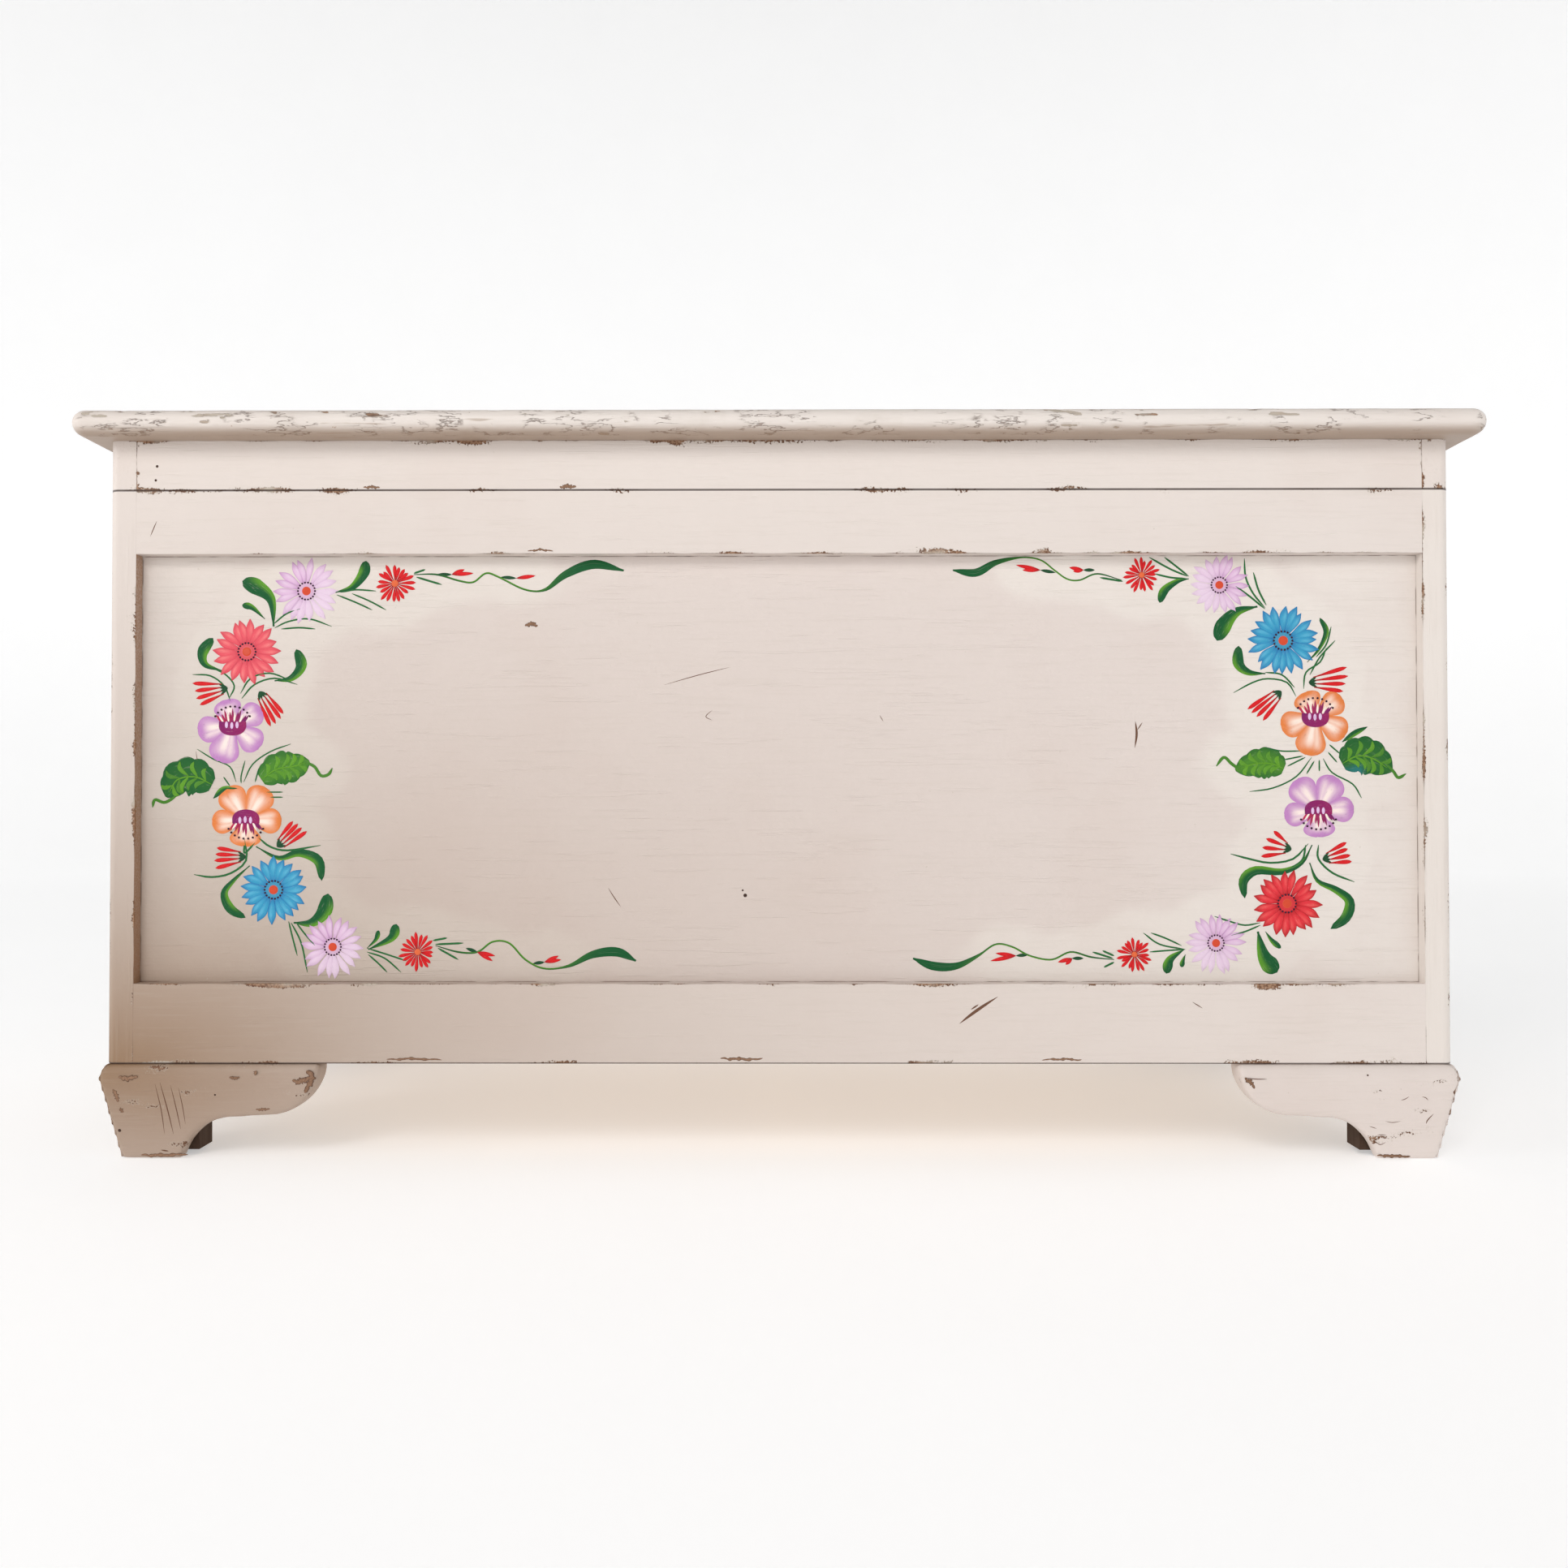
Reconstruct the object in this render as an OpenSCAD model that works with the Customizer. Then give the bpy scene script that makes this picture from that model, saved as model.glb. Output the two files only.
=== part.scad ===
// Wooden toy box: a painted blanket chest with frame-and-panel sides, a planked
// floor, mitred bracket feet and a planked lid that swings on two butt hinges.
// Millimetres. The origin is on the floor under the middle of the chest, the
// front faces -Y and +Z is up.

/* [Carcass] */
// Width of the carcass over its side frames
body_w = 1050; // [900:5:1200]
// Depth of the carcass over its front and back frames
body_d = 470; // [440:5:560]
// Height of the front and side frames
body_h = 448; // [380:1:520]
// Thickness of the side frames
side_t = 22; // [18:0.5:24]
// Thickness of the front and back frames
rail_t = 22; // [21:0.5:26]
// Height of the top rails
top_rail_h = 50; // [45:1:70]
// Height of the bottom rails
bottom_rail_h = 62; // [55:1:80]
// Width of the side frames' stiles
stile_w = 60; // [50:1:80]
// Width of the upright in the middle of the back
muntin_w = 60; // [50:1:80]
// Radius of the carcass's outer upright corners
corner_r = 8; // [2:0.5:10]

/* [Panels] */
// Thickness of the front and back panels
panel_t = 8; // [6:0.5:8]
// Set-back of the front and back panels behind the frame
panel_recess = 10; // [6:0.5:10]
// Thickness of the side panels
side_panel_t = 7; // [5:0.5:8]
// Set-back of the side panels behind the frame
side_recess = 6; // [4:0.5:6]
// Depth of the grooves that hold the panels
groove_d = 7; // [5:0.5:7]

/* [Floor] */
// Thickness of the floor boards
floor_t = 12; // [9:0.5:18]
// Side of the square cleats under the floor
cleat = 20; // [16:1:24]
// Gap between the floor boards
floor_gap = 1; // [0.5:0.5:2]

/* [Feet] */
// Height of the bracket feet
foot_h = 76; // [70:1:84]
// Thickness of a bracket at its widest
foot_t = 24; // [22:0.5:28]
// How far a foot stands out beyond the carcass
foot_proud = 4; // [2:0.5:4]
// How far a foot's face leans in from its shoulder to the floor
foot_lean = 12; // [4:0.5:12]
// Distance from the carcass corner to the bracket's lobe centre
lobe_x = 127; // [122:1:135]
// Radius of the bracket's round lobe
lobe_r = 41; // [38:1:42]
// Distance from the carcass corner to the centre of the bracket's hollow
hollow_x = 100; // [98:1:104]
// Radius of the bracket's hollow
hollow_r = 45.5; // [43:0.5:46]

/* [Lid] */
// Thickness of the lid's planks
lid_t = 20; // [18:0.5:24]
// Overhang of the lid beyond the carcass on all four sides
lid_over = 22; // [18:0.5:26]
// Radius of the lid's corners seen from above
lid_corner_r = 12; // [12:1:20]
// Height of the skirt under the lid
skirt_h = 39; // [30:1:50]
// Thickness of the skirt boards
skirt_t = 19; // [18:0.5:22]
// Distance of each batten from the middle of the lid
batten_x = 230; // [150:5:250]
// Width of the battens
batten_w = 44; // [36:1:60]
// Thickness of the battens
batten_t = 18; // [14:1:20]

/* [Hinges] */
// Distance of each hinge from the middle of the chest
hinge_x = 330; // [300:5:380]
// Length of a hinge
hinge_l = 76; // [60:2:90]
// Thickness of the hinge leaves
leaf_t = 2; // [1.5:0.1:2]
// Outer radius of the hinge knuckles
knuckle_r = 4; // [4:0.1:4.2]
// Radius of the hinge pins
pin_r = 2; // [1.5:0.1:2.2]
// Number of knuckles on a hinge
knuckles = 5; // [3:2:5]

/* [Hidden] */
$fn = 64;

// Colours
paint = [0.89, 0.84, 0.79];
paint_warm = [0.86, 0.80, 0.74];
pine = [0.76, 0.60, 0.42];
steel = [0.55, 0.54, 0.52];

// Heights
body_top = foot_h + body_h;
lid_z = body_top + skirt_h;
lid_mid_z = lid_z + lid_t / 2;
open_z0 = foot_h + bottom_rail_h;
open_z1 = body_top - top_rail_h;
floor_z = foot_h + cleat;
floor_top = floor_z + floor_t;

// Half sizes and inner faces
half_w = body_w / 2;
half_d = body_d / 2;
inner_x = half_w - side_t;
inner_y = half_d - rail_t;
lid_half_w = half_w + lid_over;
lid_half_d = half_d + lid_over;

// Grooves stop short of the frame's ends; tongues stop short of a groove's floor
groove_stop = 8;
tongue = groove_d - 0.5;
panel_y = -half_d + panel_recess;
side_panel_x = -half_w + side_recess;
over = 1;

// The back's upper edge passes between the lid's side skirts with this gap
back_ease = 1.2;

// Feet
shoulder_r = 20;
shoulder_z = foot_h - sqrt(shoulder_r * shoulder_r - pow(shoulder_r - foot_proud, 2));
foot_inner = foot_t - foot_proud;
hollow_drop = 12;
block_side = 45;
block_lift = 4;

// Hinges: the pin's axis lies level with the lid's underside, behind the back
axis_y = half_d + knuckle_r;
axis_z = lid_z;
relief_r = knuckle_r + 0.6;
leaf_front = inner_y + 3;
leaf_back = axis_y - knuckle_r - 0.8;
leaf_sink = 0.2;
leaf_room = 0.3;
knuckle_gap = 0.2;
knuckle_pitch = hinge_l / knuckles;
pin_clearance = 0.05;

// Fasteners: shank radius, head radius and length
hinge_screw = [1.75, 3.4, 22];
lid_screw = [hinge_screw[0], hinge_screw[1], lid_t - 4];
cleat_screw = [2, 4, 30];
batten_screw = [2, 4, 32];
foot_screw = [2.5, 5, 86];
nail_r = 1.2;
nail_head_r = 3;
nail_l = 30;
hole_room = 0.05;
hinge_screw_y = (leaf_front + leaf_back) / 2;
hinge_screw_x = [-hinge_l / 3, 0, hinge_l / 3];
cleat_screw_x = [-0.4 * body_w, -0.14 * body_w, 0.14 * body_w, 0.4 * body_w];
cleat_screw_y = [-0.3 * body_d, 0, 0.3 * body_d];
foot_screw_x = half_w - foot_inner - 15;
foot_screw_y = inner_y - cleat / 2;

// Lid planks and floor boards
lid_planks = 3;
plank_d = 2 * lid_half_d / lid_planks;
floor_boards = 4;
board_d = (2 * (inner_y - 1) - (floor_boards - 1) * floor_gap) / floor_boards;
batten_end_gap = 13;
batten_half = inner_y - batten_end_gap;
batten_screw_step = 0.74 * plank_d;
batten_screw_pair = 0.15 * plank_d;
bearer_w = 60;
nail_x = [-inner_x + cleat / 2, -bearer_w / 4, bearer_w / 4, inner_x - cleat / 2];
nail_spread = [0.25, 0.75];

function board_y(n) = -inner_y + 1 + (n - 1) * (board_d + floor_gap);
function plank_y(n) = -lid_half_d + (n - 1) * plank_d;

// ---------- placing ----------

// Puts a left-front piece at any of the four corners
module corner(side, end) {
    mirror([side == "right" ? 1 : 0, 0, 0])
        mirror([0, end == "back" ? 1 : 0, 0])
            children();
}

// ---------- fasteners, head on top at the origin and point downwards ----------

module screw(size) {
    r = size[0];
    head_h = size[1] - r;
    point = 2 * r;
    difference() {
        union() {
            translate([0, 0, -head_h]) cylinder(h = head_h, r1 = r, r2 = size[1]);
            translate([0, 0, point - size[2]]) cylinder(h = size[2] - point - head_h, r = r);
            translate([0, 0, -size[2]]) cylinder(h = point, r1 = 0.3, r2 = r);
        }
        translate([-size[1], -0.5, -0.9]) cube([2 * size[1], 1, 2]);
    }
}

module screw_hole(size) {
    r = size[0] + hole_room;
    head_r = size[1] + hole_room;
    translate([0, 0, -size[2] - 0.5]) cylinder(h = size[2] + 1.5, r = r);
    translate([0, 0, r - head_r]) cylinder(h = head_r - r, r1 = r, r2 = head_r);
    cylinder(h = 1.5, r = head_r);
}

module nail() {
    translate([0, 0, -1]) cylinder(h = 1, r = nail_head_r);
    translate([0, 0, -nail_l]) cylinder(h = nail_l - 1, r = nail_r);
}

module nail_hole() {
    translate([0, 0, -1]) cylinder(h = 2, r = nail_head_r + hole_room);
    translate([0, 0, -nail_l - 0.5]) cylinder(h = nail_l, r = nail_r + hole_room);
}

// ---------- where the fasteners go ----------

module at_hinge_screws(x) {
    for (dx = hinge_screw_x) translate([x + dx, hinge_screw_y, 0]) children();
}

// Screws through the cleats into the frames, four at the front and back, three at each side
module at_cleat_screws() {
    screw_z = foot_h + cleat / 2;
    for (x = cleat_screw_x) {
        translate([x, -inner_y + cleat, screw_z]) rotate([-90, 0, 0]) children();
        translate([x, inner_y - cleat, screw_z]) rotate([90, 0, 0]) children();
    }
    for (y = cleat_screw_y) {
        translate([-inner_x + cleat, y, screw_z]) rotate([0, 90, 0]) children();
        translate([inner_x - cleat, y, screw_z]) rotate([0, -90, 0]) children();
    }
}

module at_foot_screws() {
    for (sx = [-1, 1], sy = [-1, 1])
        translate([sx * foot_screw_x, sy * foot_screw_y, block_lift])
            rotate([180, 0, 0]) children();
}

module at_floor_nails() {
    for (n = [1 : floor_boards], x = nail_x, dy = nail_spread)
        translate([x, board_y(n) + dy * board_d, floor_top]) children();
}

// Two screws into each plank from each batten
module at_batten_screws(x) {
    for (n = [-1 : 1], k = [-1, 1])
        translate([x, n * batten_screw_step + k * batten_screw_pair, lid_z - batten_t])
            rotate([180, 0, 0]) children();
}

// ---------- side frames ----------

// Plan of an upright with its outer front corner rounded
module upright_plan(depth) {
    translate([-half_w, -half_d]) {
        translate([corner_r, 0]) square([side_t - corner_r, depth]);
        translate([0, corner_r]) square([side_t, depth - corner_r]);
        translate([corner_r, corner_r]) circle(corner_r);
    }
}

module stile(side, end) {
    long = body_h - 2 * groove_stop;
    color(paint) corner(side, end) difference() {
        translate([0, 0, foot_h]) linear_extrude(body_h) upright_plan(stile_w);
        translate([-inner_x - groove_d, panel_y, foot_h + groove_stop])
            cube([groove_d + over, panel_t, long]);
        translate([side_panel_x, stile_w - half_d - groove_d, foot_h + groove_stop])
            cube([side_panel_t, groove_d + over, long]);
    }
}

// A side rail with a tongue at each end; its panel groove is in the edge at groove_z
module side_rail(side, z0, z1, tongue_z0, tongue_z1, groove_z) {
    half = half_d - stile_w;
    color(paint) corner(side, "front") difference() {
        union() {
            translate([-half_w, -half, z0]) cube([side_t, 2 * half, z1 - z0]);
            translate([side_panel_x, -half - tongue, tongue_z0])
                cube([side_panel_t, 2 * (half + tongue), tongue_z1 - tongue_z0]);
        }
        translate([side_panel_x, -half - groove_d, groove_z])
            cube([side_panel_t, 2 * (half + groove_d), groove_d]);
        at_cleat_screws() screw_hole(cleat_screw);
    }
}

module side_top_rail(side) {
    side_rail(side, open_z1, body_top, open_z1, body_top - groove_stop, open_z1);
}

module side_bottom_rail(side) {
    side_rail(side, foot_h, open_z0, foot_h + groove_stop, open_z0, open_z0 - groove_d);
}

module side_panel(side) {
    half = half_d - stile_w + tongue;
    color(paint_warm) corner(side, "front")
        translate([side_panel_x, -half, open_z0 - tongue])
            cube([side_panel_t, 2 * half, open_z1 - open_z0 + 2 * tongue]);
}

// ---------- front and back frames ----------

// A rail between the side frames with a tongue at each end and a panel groove
module cross_rail(z0, z1, tongue_z0, tongue_z1, groove_z) {
    difference() {
        union() {
            translate([-inner_x, -half_d, z0]) cube([2 * inner_x, rail_t, z1 - z0]);
            translate([-inner_x - tongue, panel_y, tongue_z0])
                cube([2 * (inner_x + tongue), panel_t, tongue_z1 - tongue_z0]);
        }
        translate([-inner_x - groove_d, panel_y, groove_z])
            cube([2 * (inner_x + groove_d), panel_t, groove_d]);
    }
}

module cross_bottom_rail(end) {
    color(paint) difference() {
        corner("left", end)
            cross_rail(foot_h, open_z0, foot_h + groove_stop, open_z0, open_z0 - groove_d);
        at_cleat_screws() screw_hole(cleat_screw);
    }
}

module front_top_rail() {
    color(paint) cross_rail(open_z1, body_top, open_z1, body_top - groove_stop, open_z1);
}

module front_panel() {
    half = inner_x + tongue;
    color(paint_warm)
        translate([-half, panel_y, open_z0 - tongue])
            cube([2 * half, panel_t, open_z1 - open_z0 + 2 * tongue]);
}

// The back's top rail reaches up between the lid's side skirts and carries the hinges
module back_top_rail() {
    tall = lid_z - body_top;
    color(paint) difference() {
        corner("left", "back")
            cross_rail(open_z1, lid_z, open_z1, body_top - groove_stop, open_z1);
        for (s = [-1, 1])
            translate([s * inner_x - back_ease, inner_y - over, body_top])
                cube([2 * back_ease, rail_t + 2 * over, tall + over]);
        for (s = [-1, 1]) {
            leaf_mortise(s * hinge_x, -1);
            hinge_relief(s * hinge_x);
            at_hinge_screws(s * hinge_x)
                translate([0, 0, axis_z - leaf_sink]) screw_hole(hinge_screw);
        }
    }
}

module back_muntin() {
    tall = open_z1 - open_z0;
    color(paint) corner("left", "back") difference() {
        union() {
            translate([-muntin_w / 2, -half_d, open_z0]) cube([muntin_w, rail_t, tall]);
            translate([-muntin_w / 2, panel_y, open_z0 - tongue])
                cube([muntin_w, panel_t, tall + 2 * tongue]);
        }
        for (s = [-1, 1])
            translate([s * muntin_w / 2 - groove_d, panel_y, open_z0 - groove_d])
                cube([2 * groove_d, panel_t, tall + 2 * groove_d]);
    }
}

module back_panel(side) {
    wide = inner_x - muntin_w / 2 + 2 * tongue;
    color(paint_warm) corner(side, "back")
        translate([-inner_x - tongue, panel_y, open_z0 - tongue])
            cube([wide, panel_t, open_z1 - open_z0 + 2 * tongue]);
}

// ---------- floor ----------

module long_cleat(end) {
    color(pine) difference() {
        corner("left", end)
            translate([-inner_x, -inner_y, foot_h]) cube([2 * inner_x, cleat, cleat]);
        at_cleat_screws() screw_hole(cleat_screw);
        at_foot_screws() screw_hole(foot_screw);
    }
}

module short_cleat(side) {
    half = inner_y - cleat;
    color(pine) difference() {
        corner(side, "front")
            translate([-inner_x, -half, foot_h]) cube([cleat, 2 * half, cleat]);
        at_cleat_screws() screw_hole(cleat_screw);
        at_floor_nails() nail_hole();
    }
}

module floor_bearer() {
    half = inner_y - cleat;
    color(pine) difference() {
        translate([-bearer_w / 2, -half, foot_h]) cube([bearer_w, 2 * half, cleat]);
        at_floor_nails() nail_hole();
    }
}

module floor_board(n) {
    half = inner_x - 1;
    color(pine) difference() {
        translate([-half, board_y(n), floor_z]) cube([2 * half, board_d, floor_t]);
        at_floor_nails() nail_hole();
    }
}

// ---------- feet ----------

// Front view of a bracket: a heel on the floor, a hollow, and a round lobe at the tip
module foot_outline() {
    difference() {
        translate([-foot_proud, 0]) square([hollow_x + foot_proud, foot_h]);
        translate([hollow_x, -hollow_drop]) circle(hollow_r);
    }
    polygon([
        [hollow_x, hollow_r - hollow_drop], [lobe_x, foot_h - lobe_r],
        [lobe_x, foot_h], [hollow_x, foot_h]
    ]);
    intersection() {
        translate([lobe_x, foot_h]) circle(lobe_r);
        translate([lobe_x, 0]) square([lobe_r, foot_h]);
    }
}

// End view of a bracket: its face leans in towards the floor under a round shoulder
module foot_section() {
    polygon([
        [-foot_inner, 0], [foot_proud - foot_lean, 0],
        [foot_proud, shoulder_z], [-foot_inner, shoulder_z]
    ]);
    intersection() {
        translate([foot_proud - shoulder_r, shoulder_z]) circle(shoulder_r);
        translate([-foot_inner, shoulder_z]) square([foot_t, foot_h - shoulder_z]);
    }
}

// The left-front bracket along the front, mitred at the corner
module mitred_bracket() {
    long = lobe_x + lobe_r + foot_proud + over;
    difference() {
        intersection() {
            translate([-half_w, foot_inner + over - half_d, 0]) rotate([90, 0, 0])
                linear_extrude(foot_t + 2 * over) foot_outline();
            translate([long - foot_proud - half_w, -half_d, 0]) rotate([90, 0, -90])
                linear_extrude(long) foot_section();
        }
        translate([-half_w, -half_d, -over]) rotate([0, 0, 45])
            translate([-2 * foot_t, 0, 0]) cube([2 * long, 2 * long, foot_h + 2 * over]);
    }
}

module foot_bracket(side, end) {
    color(paint) corner(side, end) mitred_bracket();
}

// The return is the same bracket turned over the mitre, along the side
module foot_return(side, end) {
    color(paint) corner(side, end)
        translate([-half_w, -half_d, 0]) mirror([1, -1, 0])
            translate([half_w, half_d, 0]) mitred_bracket();
}

module glue_block(side, end) {
    color(pine) difference() {
        corner(side, end)
            translate([foot_inner - half_w, foot_inner - half_d, block_lift])
                linear_extrude(foot_h - block_lift)
                    polygon([
                        [0, 0], [block_side, 0], [block_side, block_side / 2],
                        [block_side / 2, block_side], [0, block_side]
                    ]);
        at_foot_screws() screw_hole(foot_screw);
    }
}

// ---------- hinges ----------

// A leaf lies in front of the pin; dir is -1 for the back's leaf and 1 for the lid's.
// The back's leaf has the odd knuckles and the lid's leaf has the even ones.
module hinge_leaf(x, dir, bore_r) {
    z0 = dir < 0 ? axis_z - leaf_sink - leaf_t : axis_z + leaf_sink;
    first = dir < 0 ? 0 : 1;
    color(steel) difference() {
        union() {
            translate([x - hinge_l / 2, leaf_front, z0])
                cube([hinge_l, leaf_back - leaf_front, leaf_t]);
            for (k = [first : 2 : knuckles - 1])
                translate([x - hinge_l / 2 + k * knuckle_pitch + knuckle_gap / 2, 0, 0]) {
                    translate([0, leaf_back - over, z0])
                        cube([knuckle_pitch - knuckle_gap, axis_y - leaf_back - pin_r + over, leaf_t]);
                    translate([0, axis_y, axis_z]) rotate([0, 90, 0])
                        cylinder(h = knuckle_pitch - knuckle_gap, r = knuckle_r);
                }
        }
        translate([x - hinge_l, axis_y, axis_z]) rotate([0, 90, 0])
            cylinder(h = 2 * hinge_l, r = bore_r);
        at_hinge_screws(x)
            translate([0, 0, axis_z + dir * leaf_sink])
                rotate([dir < 0 ? 0 : 180, 0, 0]) screw_hole(hinge_screw);
    }
}

// The recess for a leaf in the top of the back (dir -1) or in the lid (dir 1)
module leaf_mortise(x, dir) {
    deep = leaf_t + leaf_sink;
    translate([
        x - hinge_l / 2 - leaf_room, leaf_front - leaf_room,
        dir < 0 ? axis_z - deep : axis_z - over
    ])
        cube([hinge_l + 2 * leaf_room, axis_y - leaf_front + leaf_room, deep + over]);
}

// Room for the knuckles to turn in
module hinge_relief(x) {
    translate([x - hinge_l / 2 - leaf_room, axis_y, axis_z]) rotate([0, 90, 0])
        cylinder(h = hinge_l + 2 * leaf_room, r = relief_r);
}

module hinge_pin(x) {
    color(steel) translate([x - hinge_l / 2, axis_y, axis_z]) rotate([0, 90, 0])
        cylinder(h = hinge_l, r = pin_r);
}

module hinge_screws_body() {
    color(steel) for (s = [-1, 1])
        at_hinge_screws(s * hinge_x)
            translate([0, 0, axis_z - leaf_sink]) screw(hinge_screw);
}

// Shorter than the lid is thick, so the points stay inside it
module hinge_screws_lid() {
    color(steel) for (s = [-1, 1])
        at_hinge_screws(s * hinge_x)
            translate([0, 0, axis_z + leaf_sink]) rotate([180, 0, 0]) screw(lid_screw);
}

module cleat_screws() {
    color(steel) at_cleat_screws() screw(cleat_screw);
}

module foot_screws() {
    color(steel) at_foot_screws() screw(foot_screw);
}

module floor_nails() {
    color(steel) at_floor_nails() nail();
}

// ---------- lid ----------

// End view of the lid: flat planks with a full round nose at both ends
module lid_profile() {
    nose_x = lid_half_w - lid_t / 2;
    translate([-nose_x, lid_z]) square([2 * nose_x, lid_t]);
    for (s = [-1, 1]) translate([s * nose_x, lid_mid_z]) circle(lid_t / 2);
}

// The lid's round nose, turned a quarter turn about the centre of a corner
module lid_corner() {
    rotate_extrude(angle = 90) lid_nose(lid_corner_r - lid_t / 2);
}

// Half of the lid's end view: a flat stretch and then the round nose
module lid_nose(flat) {
    translate([0, -lid_t / 2]) square([flat, lid_t]);
    intersection() {
        translate([flat, 0]) circle(lid_t / 2);
        translate([flat, -lid_t / 2]) square([lid_t / 2, lid_t]);
    }
}

// A length of the profile between two depths
module lid_run(y0, y1) {
    translate([0, y1, 0]) rotate([90, 0, 0]) linear_extrude(y1 - y0) lid_profile();
}

module lid_plank_front() {
    corner_x = lid_half_w - lid_corner_r;
    corner_y = lid_half_d - lid_corner_r;
    color(paint) difference() {
        union() {
            lid_run(-corner_y, plank_y(2));
            translate([-corner_x, -corner_y, lid_mid_z]) rotate([90, 0, -90])
                mirror([0, 0, 1]) linear_extrude(2 * corner_x)
                    lid_nose(lid_corner_r - lid_t / 2);
            for (s = [0, 1]) mirror([s, 0, 0])
                translate([-corner_x, -corner_y, lid_mid_z]) rotate([0, 0, 180]) lid_corner();
        }
        for (s = [-1, 1]) at_batten_screws(s * batten_x) screw_hole(batten_screw);
    }
}

module lid_plank_middle() {
    color(paint) difference() {
        lid_run(plank_y(2), plank_y(3));
        for (s = [-1, 1]) at_batten_screws(s * batten_x) screw_hole(batten_screw);
    }
}

// The rear plank's back edge is square: it meets the back when the lid is wide open
module lid_plank_rear() {
    color(paint) difference() {
        lid_run(plank_y(3), lid_half_d);
        for (s = [-1, 1]) {
            at_batten_screws(s * batten_x) screw_hole(batten_screw);
            leaf_mortise(s * hinge_x, 1);
            hinge_relief(s * hinge_x);
            at_hinge_screws(s * hinge_x)
                translate([0, 0, axis_z + leaf_sink]) rotate([180, 0, 0])
                    screw_hole(lid_screw);
        }
    }
}

module lid_skirt_front() {
    color(paint)
        translate([-inner_x, -half_d, body_top]) cube([2 * inner_x, skirt_t, skirt_h]);
}

module lid_skirt_side(side) {
    color(paint) corner(side, "front")
        translate([0, 0, body_top]) linear_extrude(skirt_h) {
            upright_plan(half_d);
            mirror([0, 1]) upright_plan(half_d);
        }
}

// A batten ties the planks together; its ends slope up to the lid
module lid_batten(side) {
    slope = batten_t / 2;
    color(pine) corner(side, "front") difference() {
        translate([-batten_x - batten_w / 2, 0, lid_z]) rotate([90, 0, 90])
            linear_extrude(batten_w)
                polygon([
                    [-batten_half, 0], [-batten_half, slope - batten_t],
                    [slope - batten_half, -batten_t], [batten_half - slope, -batten_t],
                    [batten_half, slope - batten_t], [batten_half, 0]
                ]);
        at_batten_screws(-batten_x) screw_hole(batten_screw);
    }
}

module batten_screws() {
    color(steel) for (s = [-1, 1]) at_batten_screws(s * batten_x) screw(batten_screw);
}

// ---------- nodes ----------

stile("left", "front");  // left_front_stile
stile("left", "back");  // left_rear_stile
side_top_rail("left");  // left_top_rail
side_bottom_rail("left");  // left_bottom_rail
side_panel("left");  // left_panel
stile("right", "front");  // right_front_stile
stile("right", "back");  // right_rear_stile
side_top_rail("right");  // right_top_rail
side_bottom_rail("right");  // right_bottom_rail
side_panel("right");  // right_panel
front_top_rail();
cross_bottom_rail("front");  // front_bottom_rail
front_panel();
back_top_rail();
cross_bottom_rail("back");  // back_bottom_rail
back_muntin();
back_panel("left");  // back_panel_left
back_panel("right");  // back_panel_right
long_cleat("front");  // front_cleat
long_cleat("back");  // back_cleat
short_cleat("left");  // left_cleat
short_cleat("right");  // right_cleat
floor_bearer();
floor_board(1);  // floor_board_1
floor_board(2);  // floor_board_2
floor_board(3);  // floor_board_3
floor_board(4);  // floor_board_4
foot_bracket("left", "front");  // foot_bracket_left_front
foot_bracket("right", "front");  // foot_bracket_right_front
foot_bracket("left", "back");  // foot_bracket_left_back
foot_bracket("right", "back");  // foot_bracket_right_back
foot_return("left", "front");  // foot_return_left_front
foot_return("right", "front");  // foot_return_right_front
foot_return("left", "back");  // foot_return_left_back
foot_return("right", "back");  // foot_return_right_back
glue_block("left", "front");  // glue_block_left_front
glue_block("right", "front");  // glue_block_right_front
glue_block("left", "back");  // glue_block_left_back
glue_block("right", "back");  // glue_block_right_back
hinge_leaf(-hinge_x, -1, pin_r);  // hinge_leaf_body_left
hinge_leaf(hinge_x, -1, pin_r);  // hinge_leaf_body_right
hinge_pin(-hinge_x);  // hinge_pin_left
hinge_pin(hinge_x);  // hinge_pin_right
hinge_screws_body();
cleat_screws();
foot_screws();
floor_nails();
lid_plank_front();
lid_plank_middle();
lid_plank_rear();
lid_skirt_front();
lid_skirt_side("left");  // lid_skirt_left
lid_skirt_side("right");  // lid_skirt_right
lid_batten("left");  // lid_batten_left
lid_batten("right");  // lid_batten_right
union() {  // hinge_leaf_lid_left
    hinge_leaf(-hinge_x, 1, pin_r + pin_clearance);
}
union() {  // hinge_leaf_lid_right
    hinge_leaf(hinge_x, 1, pin_r + pin_clearance);
}
hinge_screws_lid();
batten_screws();
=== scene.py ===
"""The looks of the painted wooden toy box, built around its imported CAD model.

Lengths are in metres in the shared frame, with two exceptions. A name that ends in _MM is in
millimetres, and so is everything that a Motif is given: its strokes and dots are laid out from
the middle of the front panel, x to the right and z up.
"""

import math
import random

import bmesh
import bpy
import numpy as np
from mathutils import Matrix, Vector, noise


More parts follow.
